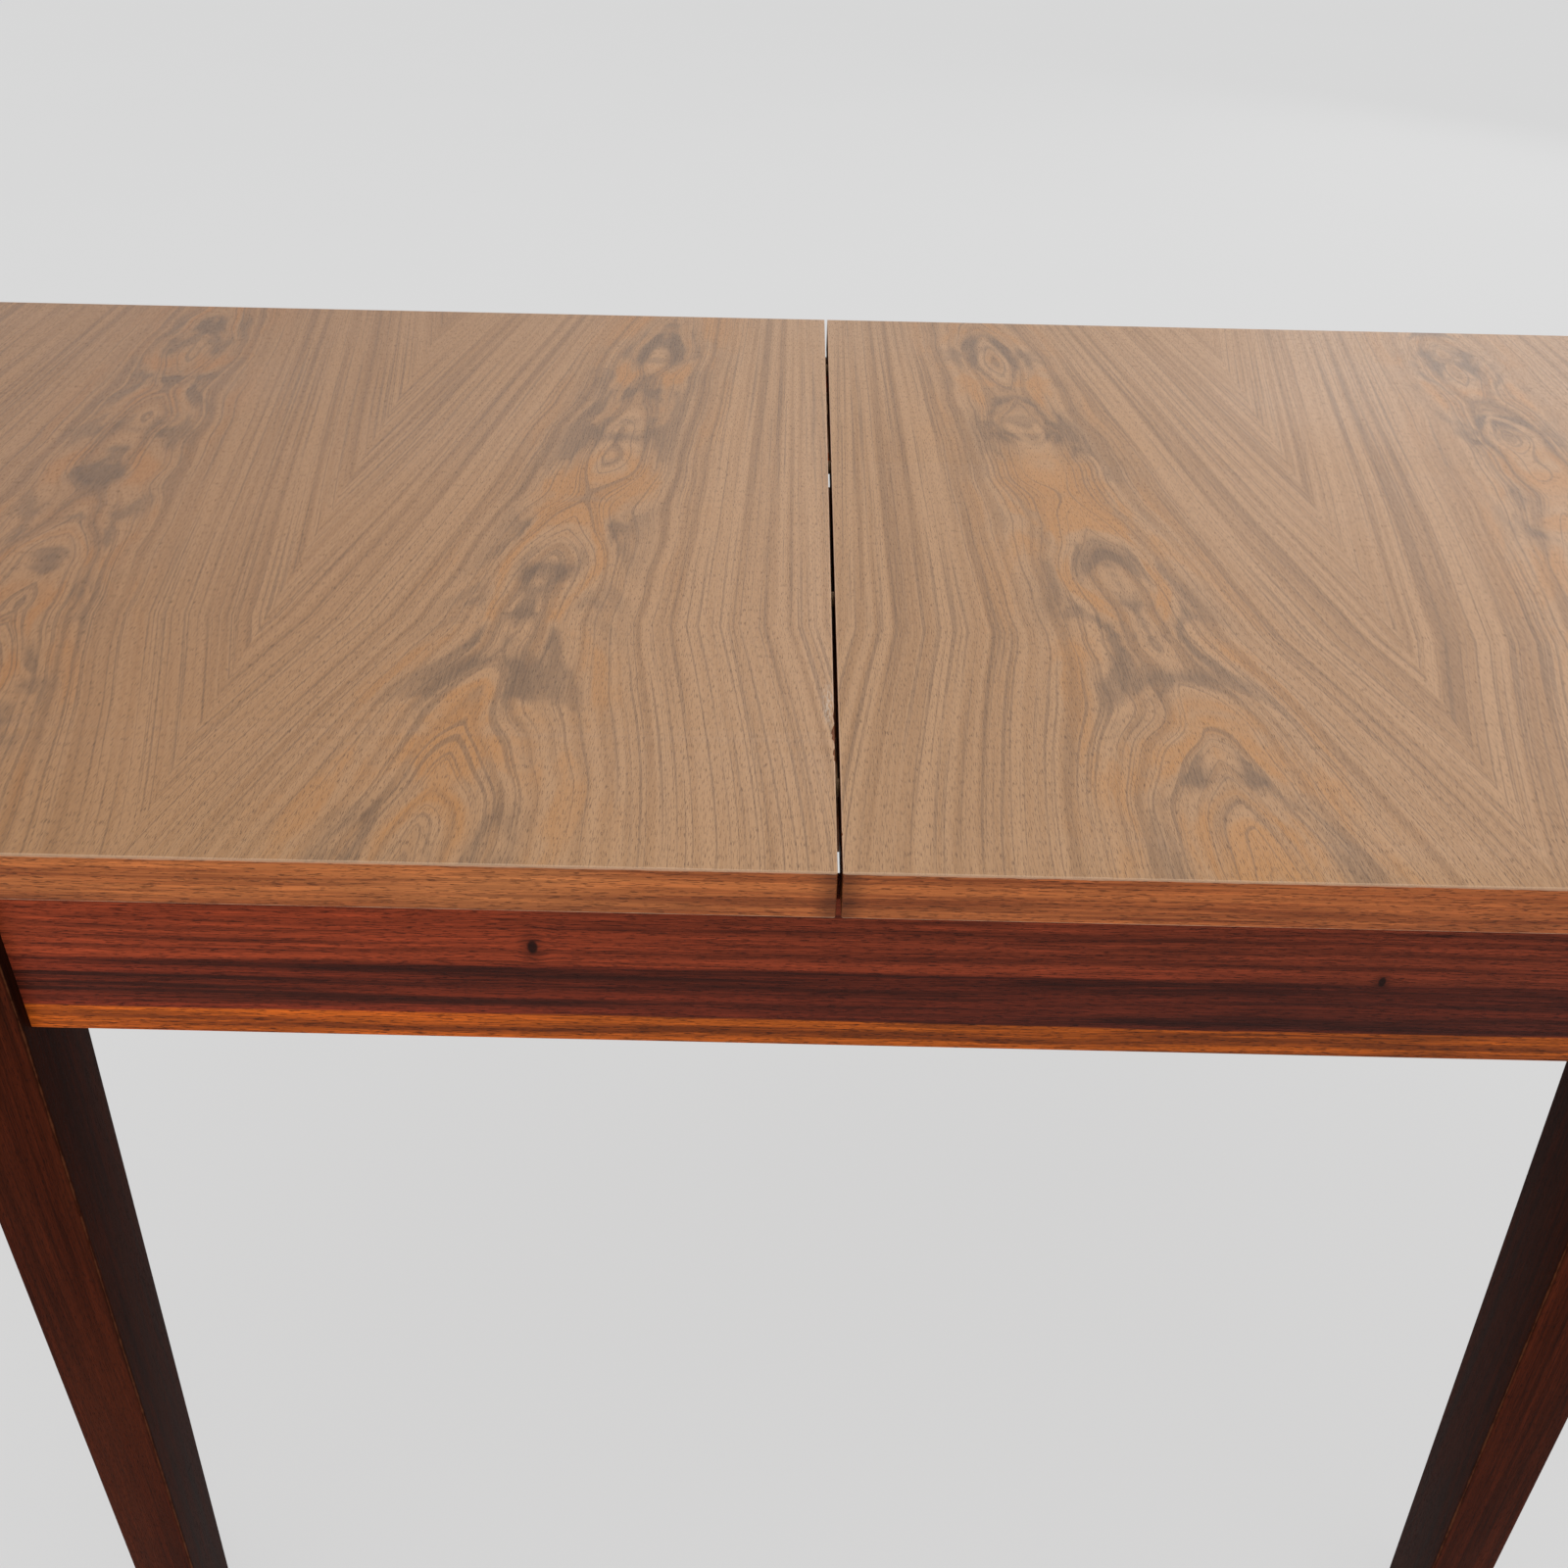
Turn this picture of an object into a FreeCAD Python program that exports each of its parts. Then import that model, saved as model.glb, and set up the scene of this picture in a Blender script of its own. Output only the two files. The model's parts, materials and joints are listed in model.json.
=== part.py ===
import FreeCAD, Part
import os
import re
import Sketcher
from FreeCAD import Placement, Rotation, Vector

# Extendable dining table. Two half-tops slide apart on wooden bars over a fixed frame, and a
# loose leaf is stored inside the frame. X runs along the table, Y across it and Z up, with the
# origin on the floor under the middle of the top. The seam between the half-tops is at X = 0,
# and the front of the table is at -Y.

X_AXIS = Vector(1, 0, 0)
Y_AXIS = Vector(0, 1, 0)
Z_AXIS = Vector(0, 0, 1)

# Driving sizes in millimetres: cell alias, value and what it is.
SIZES = [
    ("top_length", 1600, "length of the closed top"),
    ("top_width", 850, "depth of the top, front to back"),
    ("table_height", 740, "floor to the top's upper face"),
    ("top_thick", 29, "thickness of the half-tops and the leaf"),
    ("veneer_thick", 0.8, "face veneer"),
    ("lipping_thick", 8, "solid wood edge strips round each board"),
    ("seam_gap", 2.5, "gap between the closed half-tops"),
    ("frame_inset", 8, "from the top's long edges back to the legs"),
    ("running_gap", 0.5, "between the frame and the half-tops that slide over it"),
    ("apron_height", 101.5, "height of the aprons"),
    ("apron_thick", 22, "thickness of the aprons"),
    ("apron_recess", 9, "from the legs' outer faces back to the aprons"),
    ("leg_head_wide", 54, "leg at the aprons, along the table"),
    ("leg_head_deep", 65, "leg at the aprons, across the table"),
    ("leg_foot_wide", 41, "leg at the floor, along the table"),
    ("leg_foot_deep", 45, "leg at the floor, across the table"),
    ("seat_chamfer", 12, "flat on the leg's inner corner that faces the corner block"),
    ("glide_radius", 9, "nail-on glide under each leg"),
    ("glide_thick", 3, "glide below the leg"),
    ("glide_nail_radius", 1.2, "nail of the glide"),
    ("glide_nail_length", 18, "nail of the glide, inside the leg"),
    ("bar_wide", 28, "slide bar across the table"),
    ("bar_tall", 30, "slide bar under its own half-top"),
    ("bar_end_inset", 60, "from the top's end to the bar's outer end"),
    ("bar_step_back", 8, "the tall part of the bar ends this far short of the seam"),
    ("bar_leg_gap", 23, "from the legs' inner faces to the left half's bars"),
    ("bar_spacing", 25, "between a bar of the left half and its neighbour from the right half"),
    ("bar_end_room", 16.5, "from the end apron to a closed bar's inner end"),
    ("slide_clearance", 0.5, "between a bar and the sides of its notch"),
    ("stop_wide", 20, "stop block on the side of a bar, across the table"),
    ("stop_long", 14, "stop block along the table"),
    ("stop_gap", 0.5, "left between the stop and the cross rail at full travel"),
    ("travel_spare", 5, "opening beyond what the leaf and its pegs need"),
    ("rail_thick", 30, "cross rail along the table"),
    ("rail_rise", 2, "cross rail above the lower edge of the aprons"),
    ("leaf_bed", 30, "cross rail under the stored leaf"),
    ("leaf_side_room", 28, "from the stored leaf to the stop blocks beside it"),
    ("leaf_end_room", 31, "from the stored leaf to the end aprons"),
    ("leaf_clearance", 3, "between the stored leaf's pegs and the sides of its bay"),
    ("keeper_room", 5, "from the half-tops down to the top of the cross rails"),
    ("keeper_clearance", 1, "between a keeper and the bar under it"),
    ("keeper_thick", 2.5, "steel keeper that holds a bar down in its notch"),
    ("keeper_long", 20, "keeper along the table"),
    ("keeper_lap", 18, "keeper beyond each side of the notch"),
    ("keeper_screw_inset", 9, "keeper screw from the side of the notch"),
    ("keeper_screw_radius", 1.75, "shank of the keeper screw"),
    ("keeper_screw_length", 18, "whole keeper screw"),
    ("keeper_head_radius", 3.5, "head of the keeper screw, flush in the keeper"),
    ("keeper_head_thick", 1.2, "head of the keeper screw"),
    ("peg_radius", 5, "alignment peg in the seam"),
    ("peg_reach", 20, "peg beyond the edge that holds it"),
    ("peg_seat", 25, "peg inside the board that holds it"),
    ("peg_pitch", 220, "from one peg to the next"),
    ("peg_clearance", 0.5, "radial clearance of a peg in its socket"),
    ("bar_screw_radius", 2.2, "screw that holds a bar under its half-top"),
    ("bar_screw_reach", 16, "the screw's length inside the half-top"),
    ("bar_screw_inset", 50, "end screws, from the ends of the bar's tall part"),
    ("bar_head_radius", 4.2, "screw head, flush with the bar's lower face"),
    ("bar_head_thick", 3, "screw head"),
    ("block_thick", 30, "corner block, square to its diagonal faces"),
    ("block_drop", 5, "corner block below the slide bars"),
    ("block_rise", 6, "corner block above the lower edge of the aprons"),
    ("block_gap", 3, "between the corner block and the leg, closed up by the bolt"),
    ("bolt_radius", 4, "hanger bolt"),
    ("bolt_seat", 35, "hanger bolt inside the leg"),
    ("bolt_tail", 4, "hanger bolt beyond its nut"),
    ("bolt_clearance", 0.4, "radial clearance of the bolt in the corner block"),
    ("thread_clearance", 0.05, "radial clearance of the bolt in the leg, nut and washer"),
    ("washer_radius", 10, "washer under the nut"),
    ("washer_thick", 1.6, "washer under the nut"),
    ("nut_radius", 7.5, "nut over its corners"),
    ("nut_thick", 6.5, "nut"),
]

# Sizes and places that follow from the driving ones.
DERIVED = {
    "half_width": "top_width / 2",
    "seam_edge": "seam_gap / 2",
    "half_length": "top_length / 2 - seam_edge",
    "under_top": "table_height - top_thick",
    "board_tall": "top_thick - veneer_thick",
    "frame_top": "under_top - running_gap",
    "frame_bottom": "frame_top - apron_height",
    "leg_outer_x": "half_width + leaf_end_room + apron_thick + apron_recess",
    "leg_outer_y": "half_width - frame_inset",
    "leg_inner_x": "leg_outer_x - leg_head_wide",
    "leg_inner_y": "leg_outer_y - leg_head_deep",
    "apron_inner_x": "leg_outer_x - apron_recess - apron_thick",
    "apron_inner_y": "leg_outer_y - apron_recess - apron_thick",
    "bar_bottom": "under_top - bar_tall",
    "bar_relief": "keeper_room + keeper_clearance",
    "left_bar_line": "leg_inner_y - bar_leg_gap - bar_wide / 2",
    "right_bar_line": "left_bar_line - bar_wide - bar_spacing",
    "leaf_length": "2 * (right_bar_line - bar_wide / 2 - stop_wide - leaf_side_room)",
    "travel": "leaf_length / 2 + peg_reach + travel_spare",
    "stop_start": "apron_inner_x - bar_end_room - stop_long",
    "rail_far_face": "stop_start - stop_gap - travel",
    "rail_line": "rail_far_face - rail_thick / 2",
    "bar_outer_end": "top_length / 2 - bar_end_inset",
    "bar_tall_length": "bar_outer_end - seam_edge - bar_step_back",
    "bar_length": "bar_outer_end + stop_start + stop_long",
    "rail_bottom": "frame_bottom + rail_rise",
    "rail_top": "under_top - keeper_room",
    "leaf_bottom": "rail_bottom + leaf_bed",
    "block_seat_sum": "leg_inner_x + leg_inner_y + seat_chamfer",
    "block_outer_sum": "block_seat_sum - block_gap * sqrt(2)",
    "block_inner_sum": "block_outer_sum - block_thick * sqrt(2)",
    "block_top": "bar_bottom - block_drop",
    "block_bottom": "frame_bottom + block_rise",
    "block_height": "block_top - block_bottom",
    "bolt_level": "block_bottom + block_height / 2",
    "seat_x": "leg_inner_x + seat_chamfer / 2",
    "seat_y": "leg_inner_y + seat_chamfer / 2",
    "washer_from_seat": "block_gap + block_thick",
    "nut_from_seat": "washer_from_seat + washer_thick",
    "tail_from_seat": "nut_from_seat + nut_thick + bolt_tail",
}

PEGS = range(4)
BAR_SCREWS = range(4)
SIDES = ("left", "right")
ENDS = ("front", "rear")

doc = FreeCAD.newDocument("extendable_dining_table")
sheet = doc.addObject("Spreadsheet::Sheet", "sizes")
for row, (alias, value, meaning) in enumerate(SIZES, start=1):
    sheet.set(f"A{row}", alias)
    sheet.set(f"B{row}", str(value))
    sheet.set(f"C{row}", meaning)
    sheet.setAlias(f"B{row}", alias)
doc.recompute()

ALIASES = {alias for alias, value, meaning in SIZES}
pieces = []


def expand(text):
    """Turn a formula in plain size names into one that reads the spreadsheet's cells."""
    def name(match):
        word = match.group(0)
        if word in DERIVED:
            return "(" + expand(DERIVED[word]) + ")"
        if word in ALIASES:
            return "sizes." + word
        return word
    return re.sub(r"[a-z_]+", name, text)


def bind(item, size, text):
    """Tie one size or place of an object to a formula."""
    item.setExpression(size, expand(text))


def place(item, low):
    """Tie an object's position to three formulas, and keep its rotation."""
    for letter, text in zip("xyz", low):
        bind(item, f"Placement.Base.{letter}", text)
    return item


def keep(item, label):
    """Name an object as one of the table's pieces."""
    item.Label = label
    pieces.append(item)
    return item


def box(name, low, size):
    """A box from its lowest corner and its three sizes."""
    item = doc.addObject("Part::Box", name)
    for side, text in zip(("Length", "Width", "Height"), size):
        bind(item, side, text)
    return place(item, low)


def cylinder(name, start, axis, radius, length):
    """A cylinder that runs from its start along an axis."""
    item = doc.addObject("Part::Cylinder", name)
    item.Placement = Placement(Vector(), Rotation(Z_AXIS, axis))
    bind(item, "Radius", radius)
    bind(item, "Height", length)
    return place(item, start)


def group(name, items):
    """Several separate solids in one piece."""
    item = doc.addObject("Part::Compound", name)
    item.Links = items
    return item


def join(name, items):
    """Several overlapping or touching solids fused into one."""
    item = doc.addObject("Part::MultiFuse", name)
    item.Shapes = items
    return item


def cut(name, base, tools):
    """A solid with one or more tools taken out of it."""
    item = doc.addObject("Part::Cut", name)
    item.Base = base
    item.Tool = tools[0] if len(tools) == 1 else group(name + "_tools", tools)
    return item


def mirror(name, source, normal):
    """The mirror image of an object in a plane through the middle of the table."""
    item = doc.addObject("Part::Mirroring", name)
    item.Source = source
    item.Normal = normal
    return item


def corners(name, master):
    """The rear right piece and its three mirror images, one at each corner of the frame."""
    front_right = mirror("front_right_" + name, master, Y_AXIS)
    rear_left = mirror("rear_left_" + name, master, X_AXIS)
    front_left = mirror("front_left_" + name, front_right, X_AXIS)
    return {"rear_right": master, "front_right": front_right, "rear_left": rear_left, "front_left": front_left}


def keep_corners(name, master):
    """Keep the four mirror images as four pieces."""
    for corner, item in corners(name, master).items():
        keep(item, f"{corner}_{name}")


def rectangle(x_low, y_low, x_high, y_high):
    """The four points of a rectangle."""
    return [(x_low, y_low), (x_high, y_low), (x_high, y_high), (x_low, y_high)]


def outline(body, name, role, loops, level="0"):
    """A sketch on an origin plane of a body: closed loops of straight lines between points.

    Each point is a pair of formulas, and neither may come out negative.
    """
    sketch = body.newObject("Sketcher::SketchObject", name)
    plane = next(item for item in body.Origin.OriginFeatures if item.Role == role)
    sketch.AttachmentSupport = (plane, [""])
    sketch.MapMode = "FlatFace"
    if level != "0":
        bind(sketch, "AttachmentOffset.Base.z", level)
    for points in loops:
        first = sketch.GeometryCount
        count = len(points)
        for index in range(count):
            start = Vector(index, index * index, 0)
            following = (index + 1) % count
            end = Vector(following, following * following, 0)
            sketch.addGeometry(Part.LineSegment(start, end))
        for index, point in enumerate(points):
            line = first + index
            following = first + (index + 1) % count
            sketch.addConstraint(Sketcher.Constraint("Coincident", line, 2, following, 1))
            for kind, axis_line, text in (("DistanceX", -2, point[0]), ("DistanceY", -1, point[1])):
                if text == "0":
                    sketch.addConstraint(Sketcher.Constraint("PointOnObject", line, 1, axis_line))
                    continue
                number = sketch.addConstraint(Sketcher.Constraint(kind, -1, 1, line, 1, 1.0))
                label = f"{kind}_{line}"
                sketch.renameConstraint(number, label)
                bind(sketch, f"Constraints.{label}", text)
    return sketch


def pad(body, sketch, length, backwards=False):
    """Extrude a sketch into a solid."""
    item = body.newObject("PartDesign::Pad", sketch.Name + "_pad")
    item.Profile = sketch
    item.Reversed = backwards
    bind(item, "Length", length)
    return item


def through(body, sketch):
    """Cut a sketch right through a solid that lies in front of its plane."""
    item = body.newObject("PartDesign::Pocket", sketch.Name + "_pocket")
    item.Profile = sketch
    item.Type = "ThroughAll"
    item.Reversed = True
    return item


def new_body(name):
    return doc.addObject("PartDesign::Body", name)


def across(side, near, size):
    """Lowest X of a thing on the left or right half, from its distance to the seam plane."""
    return near if side == "right" else f"-({near} + {size})"


def bar_line(side):
    """Distance of a half-top's slide bars from the middle of the table."""
    return f"{side}_bar_line"


def end_low(end, near, size):
    """Lowest Y of a thing on the front or rear side, from its distance to the middle plane."""
    return near if end == "rear" else f"-({near} + {size})"


def peg_offset(index):
    """Place of one peg along the seam."""
    return f"{index} * peg_pitch - {PEGS[-1]} * peg_pitch / 2"


# ---------------------------------------------------------------- half-tops

def peg_holes(side):
    """Bores for the left half's pegs, or the looser sockets of the right half."""
    height = "under_top + board_tall / 2"
    if side == "left":
        return [cylinder(f"peg_bore_{index}", ("-(seam_edge + peg_seat)", peg_offset(index), height),
                         X_AXIS, "peg_radius", "peg_seat") for index in PEGS]
    return [cylinder(f"peg_socket_{index}", ("seam_edge", peg_offset(index), height),
                     X_AXIS, "peg_radius + peg_clearance", "peg_reach") for index in PEGS]


def bar_screws(side):
    """Flush screws that hold both slide bars of one half under its board."""
    screws = []
    for end in ENDS:
        line = bar_line(side) if end == "rear" else f"-{bar_line(side)}"
        for index in BAR_SCREWS:
            pitch = f"(bar_tall_length - 2 * bar_screw_inset) / {BAR_SCREWS[-1]}"
            along = f"seam_edge + bar_step_back + bar_screw_inset + {index} * {pitch}"
            start = (along if side == "right" else f"-({along})", line, "bar_bottom")
            name = f"{side}_{end}_bar_screw_{index}"
            head = cylinder(name + "_head", start, Z_AXIS, "bar_head_radius", "bar_head_thick")
            shank = cylinder(name + "_shank", start, Z_AXIS, "bar_screw_radius",
                             "bar_tall + bar_screw_reach")
            screws.append(join(name, [head, shank]))
    return keep(group(f"{side}_bar_screws_group", screws), f"{side}_bar_screws")


def slide_bar(side, end, screws):
    """A bar that is screwed under one half-top and runs on under the other."""
    body = new_body(f"{side}_{end}_bar_body")
    profile = outline(body, f"{side}_{end}_bar_profile", "XZ_Plane", [[
        ("0", "0"),
        ("bar_length", "0"),
        ("bar_length", "bar_tall - bar_relief"),
        ("bar_tall_length", "bar_tall - bar_relief"),
        ("bar_tall_length", "bar_tall"),
        ("0", "bar_tall"),
    ]])
    pad(body, profile, "bar_wide", backwards=True)
    line = bar_line(side) if end == "rear" else f"-{bar_line(side)}"
    if side == "left":
        place(body, ("-bar_outer_end", f"{line} - bar_wide / 2", "bar_bottom"))
    else:
        body.Placement = Placement(Vector(), Rotation(Z_AXIS, 180))
        place(body, ("bar_outer_end", f"{line} + bar_wide / 2", "bar_bottom"))
    keep(cut(f"{side}_{end}_bar", body, [screws]), f"{side}_{end}_slide_bar")


def bar_stops(side):
    """Blocks on the inner sides of the bars that meet the far cross rail at full travel."""
    far = "left" if side == "right" else "right"
    blocks = []
    for end in ENDS:
        near = f"{bar_line(side)} - bar_wide / 2 - stop_wide"
        low = (across(far, "stop_start", "stop_long"), end_low(end, near, "stop_wide"), "bar_bottom")
        blocks.append(box(f"{side}_{end}_stop", low, ("stop_long", "stop_wide", "bar_tall - bar_relief")))
    keep(group(f"{side}_stops", blocks), f"{side}_bar_stops")


def half_top(side):
    """One half of the top: core board, edge lippings, face veneer, bars and their fittings."""
    screws = bar_screws(side)
    holes = group(f"{side}_peg_holes", peg_holes(side))
    inner_width = "top_width - 2 * lipping_thick"
    inner_low = "-(half_width - lipping_thick)"

    core_length = "half_length - 2 * lipping_thick"
    core = box(f"{side}_core_board",
               (across(side, "seam_edge + lipping_thick", core_length), inner_low, "under_top"),
               (core_length, inner_width, "board_tall"))
    keep(cut(f"{side}_core", core, [holes, screws]), f"{side}_top_core")

    seam = box(f"{side}_seam_strip",
               (across(side, "seam_edge", "lipping_thick"), inner_low, "under_top"),
               ("lipping_thick", inner_width, "board_tall"))
    keep(cut(f"{side}_seam", seam, [holes]), f"{side}_seam_lipping")

    low = (across(side, "top_length / 2 - lipping_thick", "lipping_thick"), inner_low, "under_top")
    keep(box(f"{side}_end", low, ("lipping_thick", inner_width, "board_tall")), f"{side}_end_lipping")
    for end in ENDS:
        low = (across(side, "seam_edge", "half_length"),
               end_low(end, "half_width - lipping_thick", "lipping_thick"), "under_top")
        strip = box(f"{side}_{end}", low, ("half_length", "lipping_thick", "board_tall"))
        keep(strip, f"{side}_{end}_lipping")

    low = (across(side, "seam_edge", "half_length"), "-half_width", "under_top + board_tall")
    keep(box(f"{side}_veneer", low, ("half_length", "top_width", "veneer_thick")), f"{side}_face_veneer")

    for end in ENDS:
        slide_bar(side, end, screws)
    bar_stops(side)


def seam_pegs():
    """Pegs fixed in the left half that line it up with the right half or with the leaf."""
    pegs = [cylinder(f"seam_peg_{index}",
                     ("-(seam_edge + peg_seat)", peg_offset(index), "under_top + board_tall / 2"),
                     X_AXIS, "peg_radius", "peg_seat + peg_reach") for index in PEGS]
    keep(group("seam_pegs", pegs), "left_seam_pegs")


# ---------------------------------------------------------------- frame

def legs():
    """Four legs, square to the frame outside and tapered on their two inner faces."""
    body = new_body("leg_body")
    outer = ("leg_outer_x", "leg_outer_y")
    head = outline(body, "leg_head", "XY_Plane", [rectangle("leg_inner_x", "leg_inner_y", *outer)],
                   "frame_bottom")
    head_pad = pad(body, head, "apron_height")
    doc.recompute()
    uprights = [(edge.CenterOfMass.x + edge.CenterOfMass.y, f"Edge{number}")
                for number, edge in enumerate(head_pad.Shape.Edges, start=1)
                if abs(edge.tangentAt(edge.FirstParameter).z) > 0.99]
    seat = body.newObject("PartDesign::Chamfer", "leg_block_seat")
    seat.Base = (head_pad, [min(uprights)[1]])
    bind(seat, "Size", "seat_chamfer")
    shoulder = outline(body, "leg_shoulder", "XY_Plane",
                       [rectangle("leg_inner_x", "leg_inner_y", *outer)], "frame_bottom")
    foot = outline(body, "leg_foot", "XY_Plane",
                   [rectangle("leg_outer_x - leg_foot_wide", "leg_outer_y - leg_foot_deep", *outer)],
                   "glide_thick")
    taper = body.newObject("PartDesign::AdditiveLoft", "leg_taper")
    taper.Profile = shoulder
    taper.Sections = [foot]
    taper.Ruled = True

    bore = diagonal("leg_bore", "0", "bolt_radius + thread_clearance", "bolt_seat", outwards=True)
    nail = cylinder("leg_nail_hole", foot_middle("glide_thick"), Z_AXIS, "glide_nail_radius",
                    "glide_nail_length")
    keep_corners("leg", cut("rear_right_leg", body, [bore, nail]))


def foot_middle(level):
    """The middle of the rear right foot."""
    return ("leg_outer_x - leg_foot_wide / 2", "leg_outer_y - leg_foot_deep / 2", level)


def glides():
    """A nail-on glide under each leg."""
    disc = cylinder("glide_disc", foot_middle("0"), Z_AXIS, "glide_radius", "glide_thick")
    nail = cylinder("glide_nail", foot_middle("0"), Z_AXIS, "glide_nail_radius",
                    "glide_thick + glide_nail_length")
    keep_corners("foot_glide", join("rear_right_glide", [disc, nail]))


def diagonal(name, from_seat, radius, length, outwards=False):
    """A cylinder on the hanger bolt's line, starting a distance inside the leg's block seat."""
    direction = Vector(1, 1, 0) if outwards else Vector(-1, -1, 0)
    start = (f"seat_x - ({from_seat}) / sqrt(2)", f"seat_y - ({from_seat}) / sqrt(2)", "bolt_level")
    return cylinder(name, start, direction, radius, length)


def corner_blocks():
    """Blocks across the corners of the frame, each with the hanger bolt that holds a leg."""
    body = new_body("corner_block_body")
    plan = outline(body, "corner_block_plan", "XY_Plane", [[
        ("apron_inner_x", "block_outer_sum - (apron_inner_x)"),
        ("block_outer_sum - (apron_inner_y)", "apron_inner_y"),
        ("block_inner_sum - (apron_inner_y)", "apron_inner_y"),
        ("apron_inner_x", "block_inner_sum - (apron_inner_x)"),
    ]], "block_bottom")
    pad(body, plan, "block_height")
    bore = diagonal("block_bore", "0", "bolt_radius + bolt_clearance", "washer_from_seat + block_gap")
    keep_corners("corner_block", cut("rear_right_block", body, [bore]))

    bolt = diagonal("rear_right_bolt", "-bolt_seat", "bolt_radius", "bolt_seat + tail_from_seat")
    keep(group("corner_bolts", list(corners("bolt", bolt).values())), "corner_hanger_bolts")
    hole = diagonal("nut_hole", "0", "bolt_radius + thread_clearance", "tail_from_seat")
    disc = diagonal("washer_disc", "washer_from_seat", "washer_radius", "washer_thick")
    washer = cut("rear_right_washer", disc, [hole])
    keep(group("washers", list(corners("washer", washer).values())), "corner_washers")
    hexagon = doc.addObject("Part::Prism", "nut_hexagon")
    hexagon.Polygon = 6
    hexagon.Placement = Placement(Vector(), Rotation(Z_AXIS, Vector(-1, -1, 0)))
    bind(hexagon, "Circumradius", "nut_radius")
    bind(hexagon, "Height", "nut_thick")
    place(hexagon, ("seat_x - (nut_from_seat) / sqrt(2)", "seat_y - (nut_from_seat) / sqrt(2)", "bolt_level"))
    nut = cut("rear_right_nut", hexagon, [hole])
    keep(group("nuts", list(corners("nut", nut).values())), "corner_nuts")


def long_aprons():
    """Front and rear aprons between the legs."""
    length = "2 * (leg_inner_x)"
    for end in ENDS:
        low = ("-(leg_inner_x)", end_low(end, "apron_inner_y", "apron_thick"), "frame_bottom")
        keep(box(f"{end}_board", low, (length, "apron_thick", "apron_height")), f"{end}_apron")


def end_aprons():
    """End aprons, notched at the top for the slide bars of the half-top above them."""
    for side in SIDES:
        body = new_body(f"{side}_end_apron_body")
        board = outline(body, f"{side}_end_board", "YZ_Plane",
                        [rectangle("0", "0", "2 * (leg_inner_y)", "apron_height")])
        pad(body, board, "apron_thick")
        notches = []
        for sign in ("-", "+"):
            middle = f"leg_inner_y {sign} {bar_line(side)}"
            notches.append(rectangle(f"{middle} - bar_wide / 2 - slide_clearance",
                                     "bar_bottom - (frame_bottom)",
                                     f"{middle} + bar_wide / 2 + slide_clearance",
                                     "apron_height + slide_clearance"))
        through(body, outline(body, f"{side}_end_notches", "YZ_Plane", notches))
        place(body, (across(side, "apron_inner_x", "apron_thick"), "-(leg_inner_y)", "frame_bottom"))
        keep(body, f"{side}_end_apron")


def cross_rails():
    """Two rails that carry the slide bars in notches and the stored leaf in a wide bay."""
    for side in SIDES:
        body = new_body(f"{side}_cross_rail_body")
        board = outline(body, f"{side}_rail_board", "YZ_Plane",
                        [rectangle("0", "0", "2 * (apron_inner_y)", "rail_top - (rail_bottom)")])
        pad(body, board, "rail_thick")
        over = "rail_top - (rail_bottom) + slide_clearance"
        bay = "leaf_length / 2 + peg_reach + leaf_clearance"
        openings = [rectangle(f"apron_inner_y - ({bay})", "leaf_bed", f"apron_inner_y + {bay}", over)]
        for line in (bar_line("left"), bar_line("right")):
            for sign in ("-", "+"):
                middle = f"apron_inner_y {sign} {line}"
                openings.append(rectangle(f"{middle} - bar_wide / 2 - slide_clearance",
                                          "bar_bottom - (rail_bottom)",
                                          f"{middle} + bar_wide / 2 + slide_clearance", over))
        through(body, outline(body, f"{side}_rail_notches", "YZ_Plane", openings))
        low = across(side, "rail_line - rail_thick / 2", "rail_thick")
        place(body, (low, "-(apron_inner_y)", "rail_bottom"))
        holes = group(f"{side}_keeper_holes", keeper_screws[side])
        keep(cut(f"{side}_rail", body, [holes]), f"{side}_cross_rail")


def keeper_rail(side):
    """X of the middle of the cross rail that keeps this half's bars down: the far one."""
    return "-rail_line" if side == "right" else "rail_line"


def make_keeper_screws():
    """Screws for the keepers, listed by the cross rail that they go into."""
    screws = {"left": [], "right": []}
    for side in SIDES:
        far = "left" if side == "right" else "right"
        for end in ENDS:
            for edge in ("inner", "outer"):
                reach = "bar_wide / 2 + slide_clearance + keeper_screw_inset"
                offset = f"{bar_line(side)} {'+' if edge == 'outer' else '-'} ({reach})"
                line = offset if end == "rear" else f"-({offset})"
                name = f"keeper_screw_{side}_{end}_{edge}"
                top = "rail_top + keeper_thick"
                head = cylinder(name + "_head", (keeper_rail(side), line, f"{top} - keeper_head_thick"),
                                Z_AXIS, "keeper_head_radius", "keeper_head_thick")
                shank = cylinder(name + "_shank", (keeper_rail(side), line, f"{top} - keeper_screw_length"),
                                 Z_AXIS, "keeper_screw_radius", "keeper_screw_length")
                screws[far].append(join(name, [head, shank]))
    return screws


def keepers():
    """Steel keepers over the low part of each bar."""
    holes = group("keeper_screw_holes", keeper_screws["left"] + keeper_screws["right"])
    plates = []
    for side in SIDES:
        for end in ENDS:
            reach = "bar_wide / 2 + slide_clearance + keeper_lap"
            low = (f"{keeper_rail(side)} - keeper_long / 2",
                   end_low(end, f"{bar_line(side)} - ({reach})", f"2 * ({reach})"), "rail_top")
            plate = box(f"{side}_{end}_keeper_plate", low, ("keeper_long", f"2 * ({reach})", "keeper_thick"))
            plates.append(cut(f"{side}_{end}_keeper", plate, [holes]))
    keep(group("keeper_plates", plates), "bar_keepers")
    keep(group("keeper_screw_set", keeper_screws["left"] + keeper_screws["right"]), "keeper_screws")


# ---------------------------------------------------------------- stored leaf

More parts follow.
